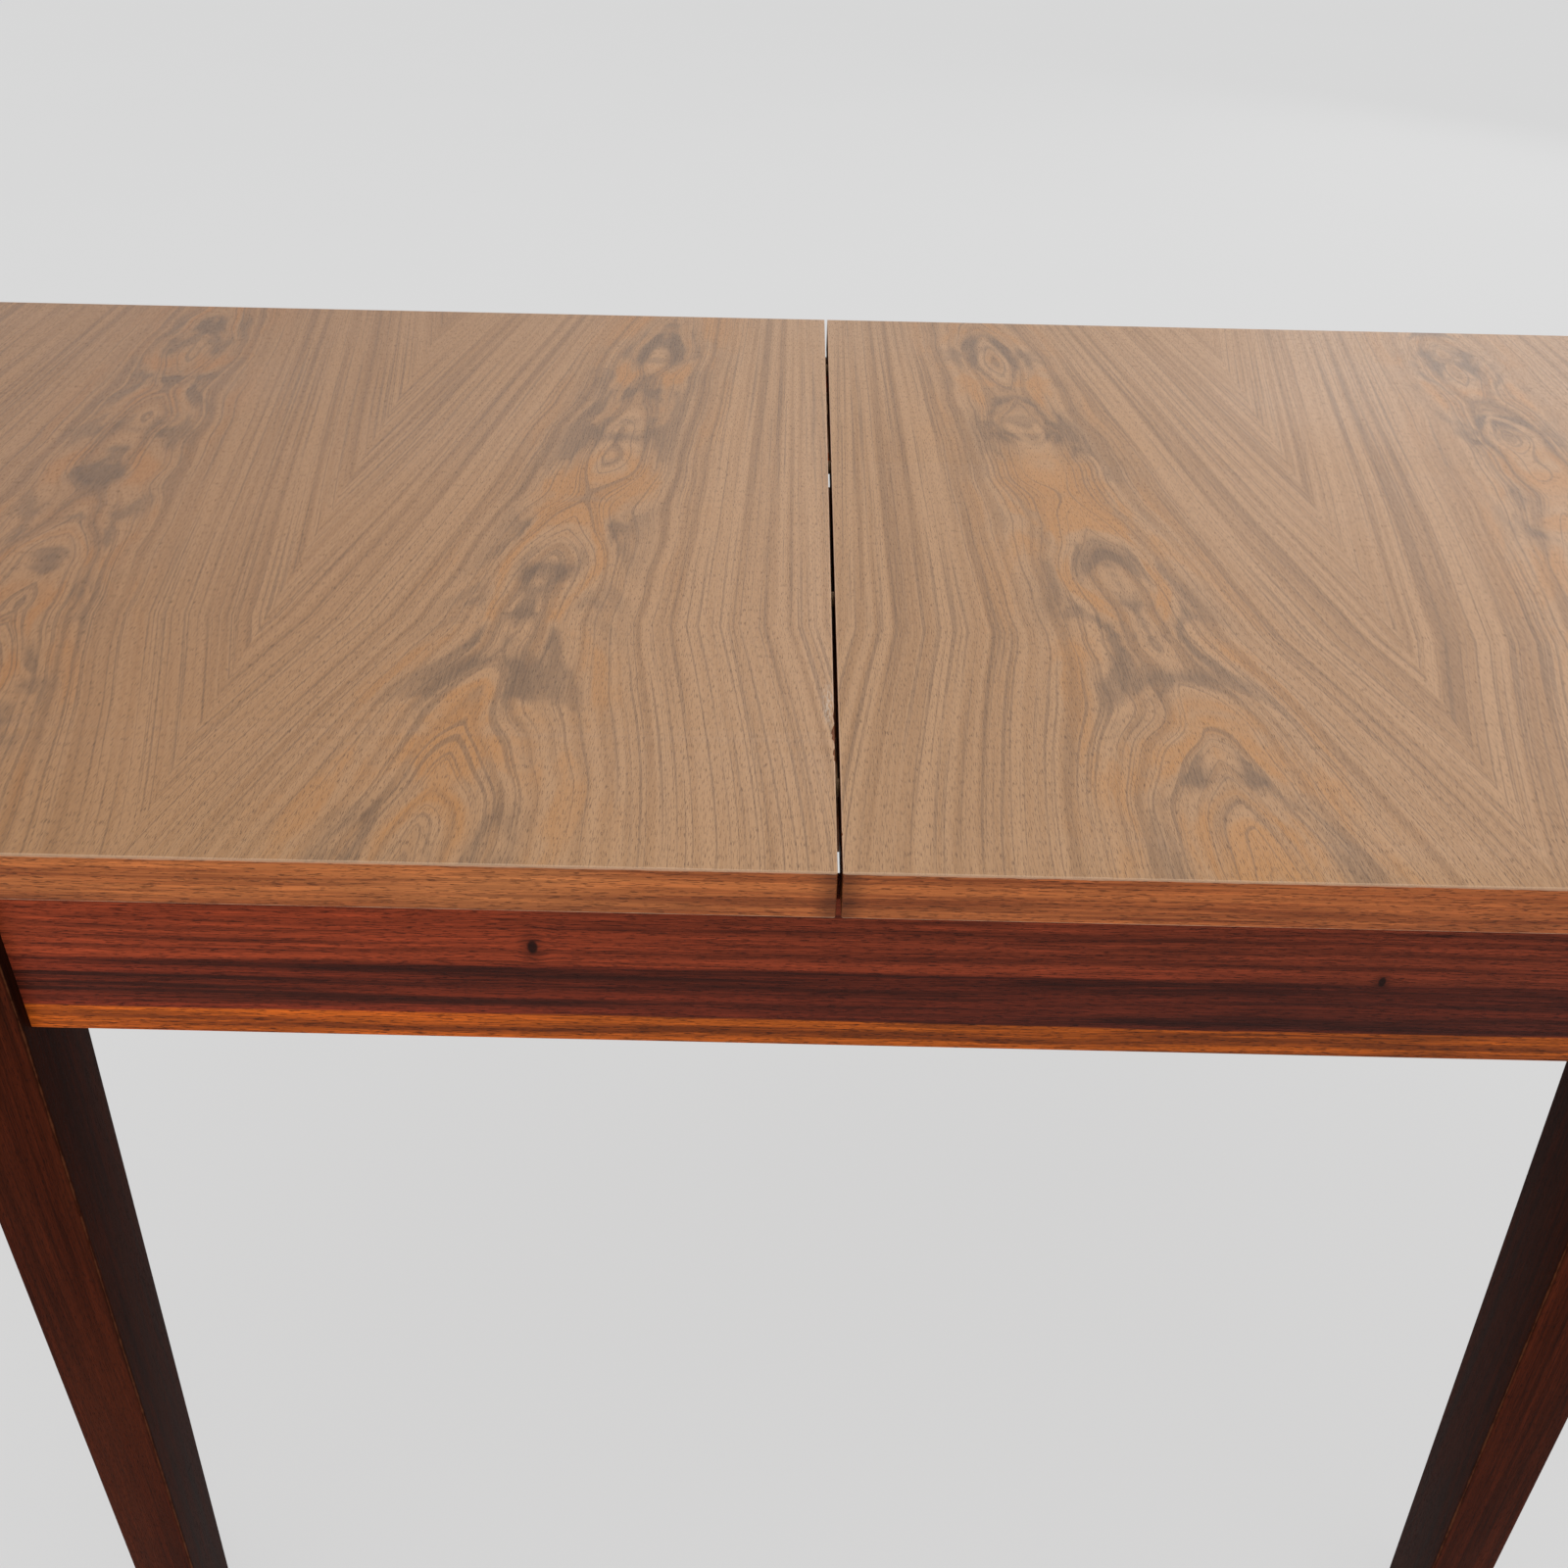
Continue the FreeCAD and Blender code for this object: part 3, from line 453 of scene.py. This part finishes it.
def apron_finish(name, along):
    """Stained apron: a sapwood strip, a dark band and a redder band glued up edge to edge, with two knots."""
    shade, size = colours(), sizes()
    material, cut, shader, place = new_finish(name)
    run = turned(cut, place, along)
    x, y, z = cut.split(run)
    outer, lift = [], 0.0
    for centre, level, radius in ((-0.157, 0.674, 0.0024), (0.286, 0.663, 0.0017)):
        beside = cut.math("DIVIDE", cut.math("SUBTRACT", x, centre), radius * 1.3)
        above = cut.math("DIVIDE", cut.math("SUBTRACT", z, level), radius * 2.2)
        reach = cut.math("SQRT", cut.math("ADD", cut.math("MULTIPLY", beside, beside),
                                          cut.math("MULTIPLY", above, above)))
        outer.append(reach)
        push = cut.math("MULTIPLY", cut.between(reach, 4.0, 0.0), radius * 0.8)
        lift = cut.math("ADD", lift, cut.math("MULTIPLY", push, cut.math("SIGN", above)))
    bent = cut.vector(x, y, cut.math("SUBTRACT", z, lift))
    grain = place_group(cut, "long grain", build_long_grain, {"Place": bent})
    pores = place_group(cut, "open pores", build_open_pores, {"Place": bent})
    red = cut.mix(cut.between(grain["Streaks"], 0.30, 0.66), (0.100, 0.018, 0.008), shade.apron_red)
    dark = cut.mix(cut.between(grain["Streaks"], 0.34, 0.66), (0.045, 0.010, 0.006), shade.apron_dark)
    # The aprons grow darker and less red towards their right-hand or rear end.
    toward_right_or_rear = cut.between(x, -0.45, 0.35)
    dark = cut.mix(cut.math("MULTIPLY", toward_right_or_rear, 0.40), dark, (0.032, 0.009, 0.006))
    sap = cut.mix(cut.between(grain["Streaks"], 0.36, 0.62), (0.170, 0.036, 0.007), shade.apron_sap)
    sway = cut.noise(cut.stretch(run, (4.5, 1.0, 1.0)), detail=2.0)
    level = cut.math("ADD", z, cut.math("MULTIPLY", cut.math("SUBTRACT", sway, 0.5), 0.006))
    band = APRON_UNDER + size.red_band
    body = cut.mix(cut.between(level, band - 0.0012, band + 0.0012), dark, red)
    body = cut.mix(cut.math("MULTIPLY", toward_right_or_rear, 0.8), body, cut.mix(1.0, body, (0.58, 0.68, 0.86), "MULTIPLY"))
    strip = APRON_UNDER + size.sapwood
    body = cut.mix(cut.between(level, strip + 0.0008, strip - 0.0008), body, sap)
    paler = cut.between(cut.noise(cut.stretch(run, (1.4, 10.0, 26.0)), detail=2.0), 0.45, 0.68)
    body = cut.mix(cut.math("MULTIPLY", paler, 0.35), body,
                   cut.mix(1.0, body, (1.7, 1.5, 1.3), "MULTIPLY"))
    body = cut.mix(cut.math("MULTIPLY", cut.between(grain["Lines"], 0.56, 0.72), 0.5), body,
                   (0.022, 0.006, 0.004))
    flecks = cut.math("MULTIPLY", cut.between(pores["Fibre"], 0.46, 0.66), 0.55)
    body = cut.mix(flecks, body, cut.mix(1.0, body, (1.8, 1.7, 1.6), "MULTIPLY"))
    body = cut.mix(cut.math("MULTIPLY", pores["Pores"], 0.7), body, (0.018, 0.005, 0.004))
    for reach in outer:
        body = cut.mix(cut.math("MULTIPLY", cut.between(reach, 3.2, 0.8), 0.45), body, (0.035, 0.008, 0.005))
        body = cut.mix(cut.math("MULTIPLY", cut.between(reach, 1.1, 0.6), 0.9), body, (0.010, 0.004, 0.003))
    # Lower arrises lightened towards bare wood: wear and a painted highlight.
    spread = cut.math("ABSOLUTE", y)
    low, high = (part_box("rear_apron") if along == "X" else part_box("right_end_apron"))
    near, far = (low[1], high[1]) if along == "X" else (low[0], high[0])
    sides = [cut.math("SUBTRACT", far, spread), cut.math("SUBTRACT", spread, near)]
    worn_highlit = place_group(cut, "worn edge", build_worn_highlit_edge, {
        "Place": place, "Width": 0.0012,
        "Distance": arris_distance(cut, sides, [cut.math("SUBTRACT", z, APRON_UNDER)])})
    body = cut.mix(cut.math("MULTIPLY", worn_highlit["Worn"], 0.4), body, (0.36, 0.15, 0.06))
    cut.feed(shader.inputs["Base Color"], body)
    cut.feed(shader.inputs["Roughness"],
             cut.math("ADD", 0.40, cut.math("MULTIPLY", grain["Streaks"], 0.16)))
    shader.inputs["Specular IOR Level"].default_value = 0.08
    height = cut.math("SUBTRACT", cut.math("MULTIPLY", grain["Lines"], 0.3), pores["Pores"])
    bump(cut, shader, height, 0.00010)
    return material


def leg_finish(name):
    """Dark-stained leg: upright grain, pores, painted shade on its inner faces, and a rubbed line along each long
    arris that is also a painted highlight.
    """
    shade = colours()
    material, cut, shader, place = new_finish(name)
    x, y, z = cut.split(place)
    run = turned(cut, place, "Z")
    grain = place_group(cut, "long grain", build_long_grain, {"Place": run})
    pores = place_group(cut, "open pores", build_open_pores, {"Place": run})
    body = cut.mix(cut.between(grain["Streaks"], 0.30, 0.68), shade.leg_dark, shade.leg_pale)
    body = cut.mix(cut.math("MULTIPLY", cut.between(grain["Lines"], 0.55, 0.72), 0.55), body,
                   (0.012, 0.004, 0.003))
    slow = cut.noise(cut.stretch(run, (2.0, 22.0, 22.0)), detail=2.0)
    body = cut.mix(cut.math("MULTIPLY", cut.between(slow, 0.50, 0.72), 0.35), body, (0.10, 0.022, 0.008))
    flecks = cut.math("MULTIPLY", cut.between(pores["Fibre"], 0.46, 0.66), 0.40)
    body = cut.mix(flecks, body, cut.mix(1.0, body, (1.8, 1.7, 1.6), "MULTIPLY"))
    body = cut.mix(cut.math("MULTIPLY", pores["Pores"], 0.6), body, (0.010, 0.004, 0.003))
    head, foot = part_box("rear_right_leg"), leg_foot()
    drop = cut.math("DIVIDE", cut.math("MAXIMUM", cut.math("SUBTRACT", APRON_UNDER, z), 0.0),
                    APRON_UNDER - head[0][2])
    spans = []
    for part, axis in ((x, 0), (y, 1)):
        spread = cut.math("ABSOLUTE", part)
        inner = cut.math("ADD", head[0][axis],
                         cut.math("MULTIPLY", drop, foot[axis] - head[0][axis]))
        inward = cut.math("SUBTRACT", spread, inner)
        spans.append(smallest(cut, [inward, cut.math("SUBTRACT", head[1][axis], spread)]))
        # Painted shade: the two tapering inner faces, and the last 2 mm up to them, are darkened to stand for the
        # shade under the table.
        inner_face_shade = cut.math("MULTIPLY", cut.between(inward, 0.0022, 0.0006), 0.8)
        body = cut.mix(inner_face_shade, body, cut.mix(1.0, body, (0.35, 0.40, 0.42), "MULTIPLY"))
    # Lighter line along each long arris: rubbed wood and a painted highlight.
    worn_highlit = place_group(cut, "worn edge", build_worn_highlit_edge, {
        "Place": place, "Width": 0.0016, "Distance": cut.math("MAXIMUM", spans[0], spans[1])})
    body = cut.mix(cut.math("MULTIPLY", worn_highlit["Worn"], 0.55), body, (0.17, 0.055, 0.022))
    cut.feed(shader.inputs["Base Color"], body)
    cut.feed(shader.inputs["Roughness"],
             cut.math("ADD", 0.42, cut.math("MULTIPLY", grain["Streaks"], 0.14)))
    shader.inputs["Specular IOR Level"].default_value = 0.012
    height = cut.math("SUBTRACT", cut.math("MULTIPLY", grain["Lines"], 0.3), pores["Pores"])
    bump(cut, shader, height, 0.00010)
    return material


def plain_wood_finish(name, along, pale, dark, roughness):
    """Unstained inside wood: streaks and lines along its length, with faint flecks."""
    material, cut, shader, place = new_finish(name)
    run = turned(cut, place, along)
    grain = place_group(cut, "long grain", build_long_grain, {"Place": run})
    body = cut.mix(cut.between(grain["Streaks"], 0.30, 0.70), dark, pale)
    body = cut.mix(cut.math("MULTIPLY", cut.between(grain["Lines"], 0.56, 0.72), 0.35), body, dark)
    flecks = cut.noise(cut.stretch(run, (160.0, 900.0, 900.0)), detail=1.0)
    body = cut.mix(cut.math("MULTIPLY", cut.between(flecks, 0.62, 0.74), 0.35), body,
                   tuple(part * 0.55 for part in dark))
    cut.feed(shader.inputs["Base Color"], body)
    cut.feed(shader.inputs["Roughness"],
             cut.math("ADD", roughness, cut.math("MULTIPLY", grain["Streaks"], 0.12)))
    shader.inputs["Specular IOR Level"].default_value = 0.3
    bump(cut, shader, grain["Lines"], 0.00005)
    return material


def steel_finish(name):
    """Zinc-plated steel, a little dull and cloudy."""
    material, cut, shader, place = new_finish(name)
    cloud = cut.noise(cut.stretch(place, (140.0, 140.0, 140.0)), detail=4.0, roughness=0.6)
    tint = cut.mix(cut.between(cloud, 0.35, 0.65), tuple(part * 0.72 for part in colours().steel),
                   colours().steel)
    cut.feed(shader.inputs["Base Color"], tint)
    cut.feed(shader.inputs["Roughness"], cut.math("ADD", 0.28, cut.math("MULTIPLY", cloud, 0.22)))
    shader.inputs["Metallic"].default_value = 1.0
    fine = cut.noise(cut.stretch(place, (900.0, 900.0, 900.0)), detail=2.0)
    bump(cut, shader, fine, 0.00002)
    return material


def glide_finish(name):
    """Brown nylon, scuffed by the floor."""
    material, cut, shader, place = new_finish(name)
    speckle = cut.noise(cut.stretch(place, (500.0, 500.0, 500.0)), detail=3.0, roughness=0.6)
    body = cut.mix(cut.between(speckle, 0.35, 0.70), colours().glide, (0.10, 0.075, 0.058))
    cut.feed(shader.inputs["Base Color"], body)
    cut.feed(shader.inputs["Roughness"], cut.math("ADD", 0.45, cut.math("MULTIPLY", speckle, 0.2)))
    bump(cut, shader, speckle, 0.00004)
    return material


def finish_for(node, along):
    """The finish of a CAD node's slot, with its grain along one axis, made the first time it is asked for."""
    kind = SLOT_OF[node]
    leaf = node.startswith("leaf")
    shade = colours()
    makers = {
        "face_veneer": (f"{'leaf' if leaf else 'top'} veneer", lambda name: veneer_finish(name, leaf)),
        "edge_lipping": (f"lipping {along}", lambda name: lipping_finish(name, along)),
        "apron_wood": (f"apron {along}", lambda name: apron_finish(name, along)),
        "leg_wood": ("leg", leg_finish),
        "core_board": (f"backing {along}", lambda name: plain_wood_finish(
            name, along, shade.backing_pale, shade.backing_dark, 0.50)),
        "hardwood_fittings": (f"beech {along}", lambda name: plain_wood_finish(
            name, along, shade.beech_pale, shade.beech_dark, 0.52)),
        "zinc_steel": ("zinc steel", steel_finish),
        "foot_glide": ("brown nylon", glide_finish),
    }
    name, make = makers[kind]
    return bpy.data.materials.get(name) or make(name)


def longest_axis(node):
    low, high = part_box(node)
    spans = [high[axis] - low[axis] for axis in range(3)]
    return "XYZ"[spans.index(max(spans))]


# ---------------------------------------------------------------- modelling by hand

def put_down():
    """Leaves edit mode, with nothing selected."""
    if bpy.context.object is not None and bpy.context.object.mode != "OBJECT":
        bpy.ops.object.mode_set(mode="OBJECT")
    bpy.ops.object.select_all(action="DESELECT")


def start_block(name, low, high):
    """A block added at its size and place, with its place in its mesh, left open in edit mode."""
    put_down()
    middle = [(first + last) / 2 for first, last in zip(low, high)]
    bpy.ops.mesh.primitive_cube_add(size=1.0, location=middle)
    piece = bpy.context.object
    piece.name = piece.data.name = name
    piece.scale = [last - first for first, last in zip(low, high)]
    bpy.ops.object.transform_apply(location=True, rotation=True, scale=True)
    bpy.ops.object.mode_set(mode="EDIT")
    return piece


def choose(piece, kind, test):
    """Selects the vertices, edges or faces for which test is true of their corners' places."""
    bpy.ops.mesh.select_mode(type={"verts": "VERT", "edges": "EDGE", "faces": "FACE"}[kind])
    net = bmesh.from_edit_mesh(piece.data)
    for item in (*net.verts, *net.edges, *net.faces):
        item.select_set(False)
    for item in getattr(net, kind):
        corners = [item.co] if kind == "verts" else [corner.co for corner in item.verts]
        if test(corners):
            item.select_set(True)
    net.select_flush_mode()
    bmesh.update_edit_mesh(piece.data)


def on_plane(corners, axis, level, reach=1e-5):
    return all(abs(corner[axis] - level) < reach for corner in corners)


def ease(piece, width, steps, test):
    """Rounds the edges for which test is true of their two ends."""
    choose(piece, "edges", test)
    if width > 0:
        bpy.ops.mesh.bevel(offset=width, segments=steps, affect="EDGES", clamp_overlap=True)


def close_piece(piece, nodes, along):
    """Leaves edit mode, gives the piece its shading, the finish of its node's slot and its body, and hides the
    nodes that it replaces.
    """
    if piece.mode == "EDIT":
        bpy.ops.mesh.select_all(action="SELECT")
        bpy.ops.mesh.normals_make_consistent(inside=False)
    put_down()
    bpy.context.view_layer.objects.active = piece
    piece.select_set(True)
    bpy.ops.object.shade_smooth_by_angle(angle=math.radians(35))
    piece.data.materials.clear()
    piece.data.materials.append(finish_for(nodes[0], along))
    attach(piece, BODY_OF[nodes[0]])
    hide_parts(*nodes)
    put_down()
    return piece


def board(name, node, width, keep=()):
    """A board in place of a CAD node, with every arris eased but those on the planes in keep."""
    low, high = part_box(node)
    piece = start_block(name, low, high)
    ease(piece, width, 2, lambda ends: not any(on_plane(ends, axis, level) for axis, level in keep))
    return close_piece(piece, [node], longest_axis(node))


def eased_copy(name, node, width):
    """A notched or bored CAD node's shape with its loose triangles merged and its arrises eased."""
    put_down()
    source = frame["nodes"][node]
    piece = bpy.data.objects.new(name, source.data.copy())
    bpy.context.scene.collection.objects.link(piece)
    bpy.context.view_layer.objects.active = piece
    piece.select_set(True)
    bpy.ops.object.mode_set(mode="EDIT")
    bpy.ops.mesh.select_all(action="SELECT")
    bpy.ops.mesh.remove_doubles(threshold=1e-6)
    bpy.ops.mesh.dissolve_limited(angle_limit=math.radians(1))
    bpy.ops.object.mode_set(mode="OBJECT")
    rounding = piece.modifiers.new("eased arrises", "BEVEL")
    rounding.width = width
    rounding.segments = 2
    rounding.limit_method = "ANGLE"
    rounding.angle_limit = math.radians(50)
    rounding.use_clamp_overlap = True
    bpy.ops.object.modifier_apply(modifier=rounding.name)
    return close_piece(piece, [node], longest_axis(node))


def leg_foot():
    """Where a rear right leg's inner faces end at the foot: the smallest x and y of its lowest corners."""
    mesh = frame["nodes"]["rear_right_leg"].data
    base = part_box("rear_right_leg")[0][2] + 1e-4
    corners = [corner.co for corner in mesh.vertices if corner.co.z < base]
    return min(corner.x for corner in corners), min(corner.y for corner in corners)


# ---------------------------------------------------------------- operators

class TABLE_OT_veneers(bpy.types.Operator):
    """Face veneers of the two half-tops and of the stored leaf, with the chips along the seam"""
    bl_idname = "table.veneers"
    bl_label = "Face veneers"

    def execute(self, context):
        ease_width = sizes().veneer_ease
        for side, facing in (("left", -1.0), ("right", 1.0)):
            node = f"{side}_face_veneer"
            low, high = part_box(node)
            piece = start_block(f"{side}_veneer_sheet", low, high)
            seam = facing * SEAM_HALF
            chips = self.chips(side)
            for where, depth in chips:
                bpy.ops.mesh.select_all(action="SELECT")
                bpy.ops.mesh.bisect(plane_co=(0.0, where, 0.0), plane_no=(0.0, 1.0, 0.0))
            ease(piece, ease_width, 2, lambda ends: on_plane(ends, 2, high[2]) and not any(
                on_plane(ends, 1, where) for where, depth in chips))
            for where, depth in chips:
                choose(piece, "verts", lambda spot: on_plane(spot, 1, where)
                       and abs(spot[0][0] - seam) < ease_width * 2)
                bpy.ops.transform.translate(value=(facing * depth, 0.0, 0.0))
            close_piece(piece, [node], "Y")
        board("leaf_veneer_sheet", "leaf_face_veneer", ease_width, keep=[(2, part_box("leaf_face_veneer")[0][2])])
        return {"FINISHED"}

    def chips(self, side):
        """Places along the seam and how deep the veneer is chipped there."""
        front = FRONT_EDGE
        if side == "right":
            return [(front + 0.0302, 0.0), (front + 0.0320, 0.0005), (front + 0.0345, 0.0),
                    (front + 0.5100, 0.0), (front + 0.5125, 0.0004), (front + 0.5150, 0.0)]
        depths = [0.0, 0.0006, 0.0003, 0.0011, 0.0007, 0.0, 0.0004, 0.0016, 0.0010, 0.0019, 0.0013,
                  0.0004, 0.0, 0.0007, 0.0003, 0.0]
        steps = [0.0021, 0.0034, 0.0017, 0.0042, 0.0026, 0.0071, 0.0019, 0.0038, 0.0024, 0.0031,
                 0.0045, 0.0022, 0.0090, 0.0027, 0.0035, 0.0020]
        places, where = [], front + 0.0980
        for depth, step in zip(depths, steps):
            places.append((where, depth))
            where += step
        return places


class TABLE_OT_lippings(bpy.types.Operator):
    """Solid lippings round the half-tops and the leaf"""
    bl_idname = "table.lippings"
    bl_label = "Lippings"

    def execute(self, context):
        width = sizes().lipping_ease
        for side in SIDES:
            for edge in ("front", "rear", "end", "seam"):
                node = f"{side}_{edge}_lipping"
                board(f"{side}_{edge}_lip", node, width if edge != "seam" else width / 2,
                      keep=[(2, VENEER_UNDER)])
        for edge in ("left", "right"):
            board(f"leaf_{edge}_lip", f"leaf_{edge}_lipping", width / 2,
                  keep=[(2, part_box(f"leaf_{edge}_lipping")[1][2])])
        return {"FINISHED"}


class TABLE_OT_aprons(bpy.types.Operator):
    """Aprons between the legs"""
    bl_idname = "table.aprons"
    bl_label = "Aprons"

    def execute(self, context):
        for node in ("front_apron", "rear_apron", "left_end_apron", "right_end_apron"):
            low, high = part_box(node)
            piece = start_block(f"{node}_board", low, high)
            length = 0 if longest_axis(node) == "X" else 1
            ease(piece, sizes().apron_ease, 3,
                 lambda ends: abs(ends[0][length] - ends[1][length]) > 0.1)
            close_piece(piece, [node], longest_axis(node))
        return {"FINISHED"}


class TABLE_OT_legs(bpy.types.Operator):
    """Legs with a straight head and two tapering inner faces"""
    bl_idname = "table.legs"
    bl_label = "Legs"

    def execute(self, context):
        foot = leg_foot()
        width = sizes().leg_ease
        for corner in CORNERS:
            node = f"{corner}_leg"
            low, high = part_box(node)
            across = 1.0 if low[0] > 0 else -1.0
            deep = 1.0 if low[1] > 0 else -1.0
            piece = start_block(f"{corner}_tapered_leg", (low[0], low[1], APRON_UNDER), high)
            choose(piece, "faces", lambda spots: on_plane(spots, 2, APRON_UNDER))
            bpy.ops.mesh.extrude_region_move(
                TRANSFORM_OT_translate={"value": (0.0, 0.0, low[2] - APRON_UNDER)})
            inner = (low[0] if across > 0 else high[0], low[1] if deep > 0 else high[1])
            for axis, way in ((0, across), (1, deep)):
                choose(piece, "verts", lambda spot: on_plane(spot, 2, low[2])
                       and on_plane(spot, axis, inner[axis]))
                shift = [0.0, 0.0, 0.0]
                shift[axis] = way * foot[axis] - inner[axis]
                bpy.ops.transform.translate(value=shift)
            ease(piece, width, 3, lambda ends: abs(ends[0][2] - ends[1][2]) > 0.05)
            ease(piece, width / 2, 2, lambda ends: on_plane(ends, 2, low[2]))
            close_piece(piece, [node], "Z")
        return {"FINISHED"}


class TABLE_OT_glides(bpy.types.Operator):
    """Nylon glides under the feet"""
    bl_idname = "table.glides"
    bl_label = "Foot glides"

    def execute(self, context):
        for corner in CORNERS:
            node = f"{corner}_foot_glide"
            low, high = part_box(node)
            put_down()
            middle = [(first + last) / 2 for first, last in zip(low, high)]
            bpy.ops.mesh.primitive_cylinder_add(vertices=48, radius=(high[0] - low[0]) / 2,
                                                depth=high[2] - low[2], location=middle)
            piece = bpy.context.object
            piece.name = piece.data.name = f"{corner}_glide_pad"
            bpy.ops.object.transform_apply(location=True, rotation=True, scale=True)
            bpy.ops.object.mode_set(mode="EDIT")
            ease(piece, 0.001, 3, lambda ends: on_plane(ends, 2, low[2]))
            close_piece(piece, [node], "Z")
        return {"FINISHED"}


class TABLE_OT_slides(bpy.types.Operator):
    """Slide bars, cross rails and corner blocks, with their arrises eased"""
    bl_idname = "table.slides"
    bl_label = "Slide bars, rails and blocks"

    def execute(self, context):
        for side in SIDES:
            for end in ENDS:
                eased_copy(f"{side}_{end}_bar_eased", f"{side}_{end}_slide_bar", 0.0008)
            eased_copy(f"{side}_rail_eased", f"{side}_cross_rail", 0.001)
        for corner in CORNERS:
            eased_copy(f"{corner}_block_eased", f"{corner}_corner_block", 0.001)
        return {"FINISHED"}


class TABLE_OT_inside(bpy.types.Operator):
    """Finishes of the parts kept from the frame: cores, pegs, stops, keepers, screws and bolts"""
    bl_idname = "table.inside"
    bl_label = "Cores and fittings"

    def execute(self, context):
        for node, item in frame["nodes"].items():
            if item.hide_render:
                continue
            along = "Y" if node.endswith("top_core") else longest_axis(node)
            item.data.materials.clear()
            item.data.materials.append(finish_for(node, along))
        return {"FINISHED"}


class TABLE_OT_stage(bpy.types.Operator):
    """Pale floor, soft studio light and the camera"""
    bl_idname = "table.stage"
    bl_label = "Stage"

    def execute(self, context):
        scene = context.scene
        put_down()
        bpy.ops.mesh.primitive_plane_add(size=60.0, location=(0.0, 0.0, 0.0))
        floor = context.object
        floor.name = "floor"
        material, cut, shader, place = new_finish("floor paint")
        mottle = cut.noise(cut.stretch(place, (1.5, 1.5, 1.5)), detail=2.0)
        pale = colours().floor
        tone = cut.mix(mottle, tuple(part * 0.155 for part in pale), tuple(part * 0.165 for part in pale))
        cut.feed(shader.inputs["Base Color"], tone)
        shader.inputs["Roughness"].default_value = 0.9
        shader.inputs["Specular IOR Level"].default_value = 0.0
        shader.inputs["Emission Color"].default_value = (1.0, 1.0, 1.0, 1.0)
        shader.inputs["Emission Strength"].default_value = 0.590
        floor.data.materials.append(material)

        world = bpy.data.worlds.new("studio")
        scene.world = world
        world.use_nodes = True
        backdrop = world.node_tree.nodes["Background"]
        backdrop.inputs["Color"].default_value = (1.0, 1.0, 1.0, 1.0)
        backdrop.inputs["Strength"].default_value = 0.80
        for name, place, turn, size, power in (
                ("overhead", (-0.3, 0.2, 3.4), (0.0, 0.0, 0.0), 3.5, 18.0),
                ("front fill", (1.2, -3.4, 2.3), (1.05, 0.0, 0.34), 2.5, 14.0),
                ("window", (2.9, 3.3, 2.4), (-1.05, 0.0, -0.72), 4.5, 52.0)):
            lamp = bpy.data.lights.new(name, "AREA")
            lamp.shape = "SQUARE"
            lamp.size = size
            lamp.energy = power
            holder = bpy.data.objects.new(name, lamp)
            holder.location = place
            holder.rotation_euler = turn
            scene.collection.objects.link(holder)

        camera = bpy.data.cameras.new("camera")
        camera.sensor_width = 36.0
        camera.lens = 36.0
        camera.clip_end = 100.0
        holder = bpy.data.objects.new("camera", camera)
        scene.collection.objects.link(holder)
        holder.matrix_world = self.aim((-0.0271, -1.0318, 1.2024), 34.131, -0.113, -1.204)
        scene.camera = holder
        scene.view_settings.view_transform = "Standard"
        return {"FINISHED"}

    def aim(self, place, pitch, yaw, roll):
        """A camera's matrix from its place and its angles in degrees: down, right and clockwise."""
        pitch, yaw, roll = (math.radians(angle) for angle in (pitch, yaw, roll))
        level_reach = math.cos(pitch)
        ahead = Vector((math.sin(yaw) * level_reach, math.cos(yaw) * level_reach, -math.sin(pitch)))
        right = Vector((math.cos(yaw), -math.sin(yaw), 0.0))
        down = ahead.cross(right)
        level = right * math.cos(roll) + down * math.sin(roll)
        below = down * math.cos(roll) - right * math.sin(roll)
        turn = Matrix((level, -below, -ahead)).transposed()
        return Matrix.Translation(place) @ turn.to_4x4()


STEPS = (TABLE_OT_veneers, TABLE_OT_lippings, TABLE_OT_aprons, TABLE_OT_legs, TABLE_OT_glides,
         TABLE_OT_slides, TABLE_OT_inside, TABLE_OT_stage)


class TABLE_PT_build(bpy.types.Panel):
    """Sizes, colours and building steps of the table"""
    bl_idname = "TABLE_PT_build"
    bl_label = "Extendable Dining Table"
    bl_space_type = "VIEW_3D"
    bl_region_type = "UI"
    bl_category = "Table"

    def draw(self, context):
        for heading, group_of in (("Sizes", context.scene.table_sizes),
                                  ("Colours", context.scene.table_colours)):
            self.layout.label(text=heading)
            for name in group_of.__annotations__:
                self.layout.prop(group_of, name)
        for step in STEPS:
            self.layout.operator(step.bl_idname)


CLASSES = (TableSizes, TableColours, *STEPS, TABLE_PT_build)


def register():
    for item in CLASSES:
        bpy.utils.register_class(item)
    bpy.types.Scene.table_sizes = PointerProperty(type=TableSizes)
    bpy.types.Scene.table_colours = PointerProperty(type=TableColours)


def unregister():
    del bpy.types.Scene.table_colours
    del bpy.types.Scene.table_sizes
    for item in reversed(CLASSES):
        bpy.utils.unregister_class(item)


def main():
    register()
    bpy.ops.table.veneers()
    bpy.ops.table.lippings()
    bpy.ops.table.aprons()
    bpy.ops.table.legs()
    bpy.ops.table.glides()
    bpy.ops.table.slides()
    bpy.ops.table.inside()
    bpy.ops.table.stage()


if __name__ == "__main__":
    main()
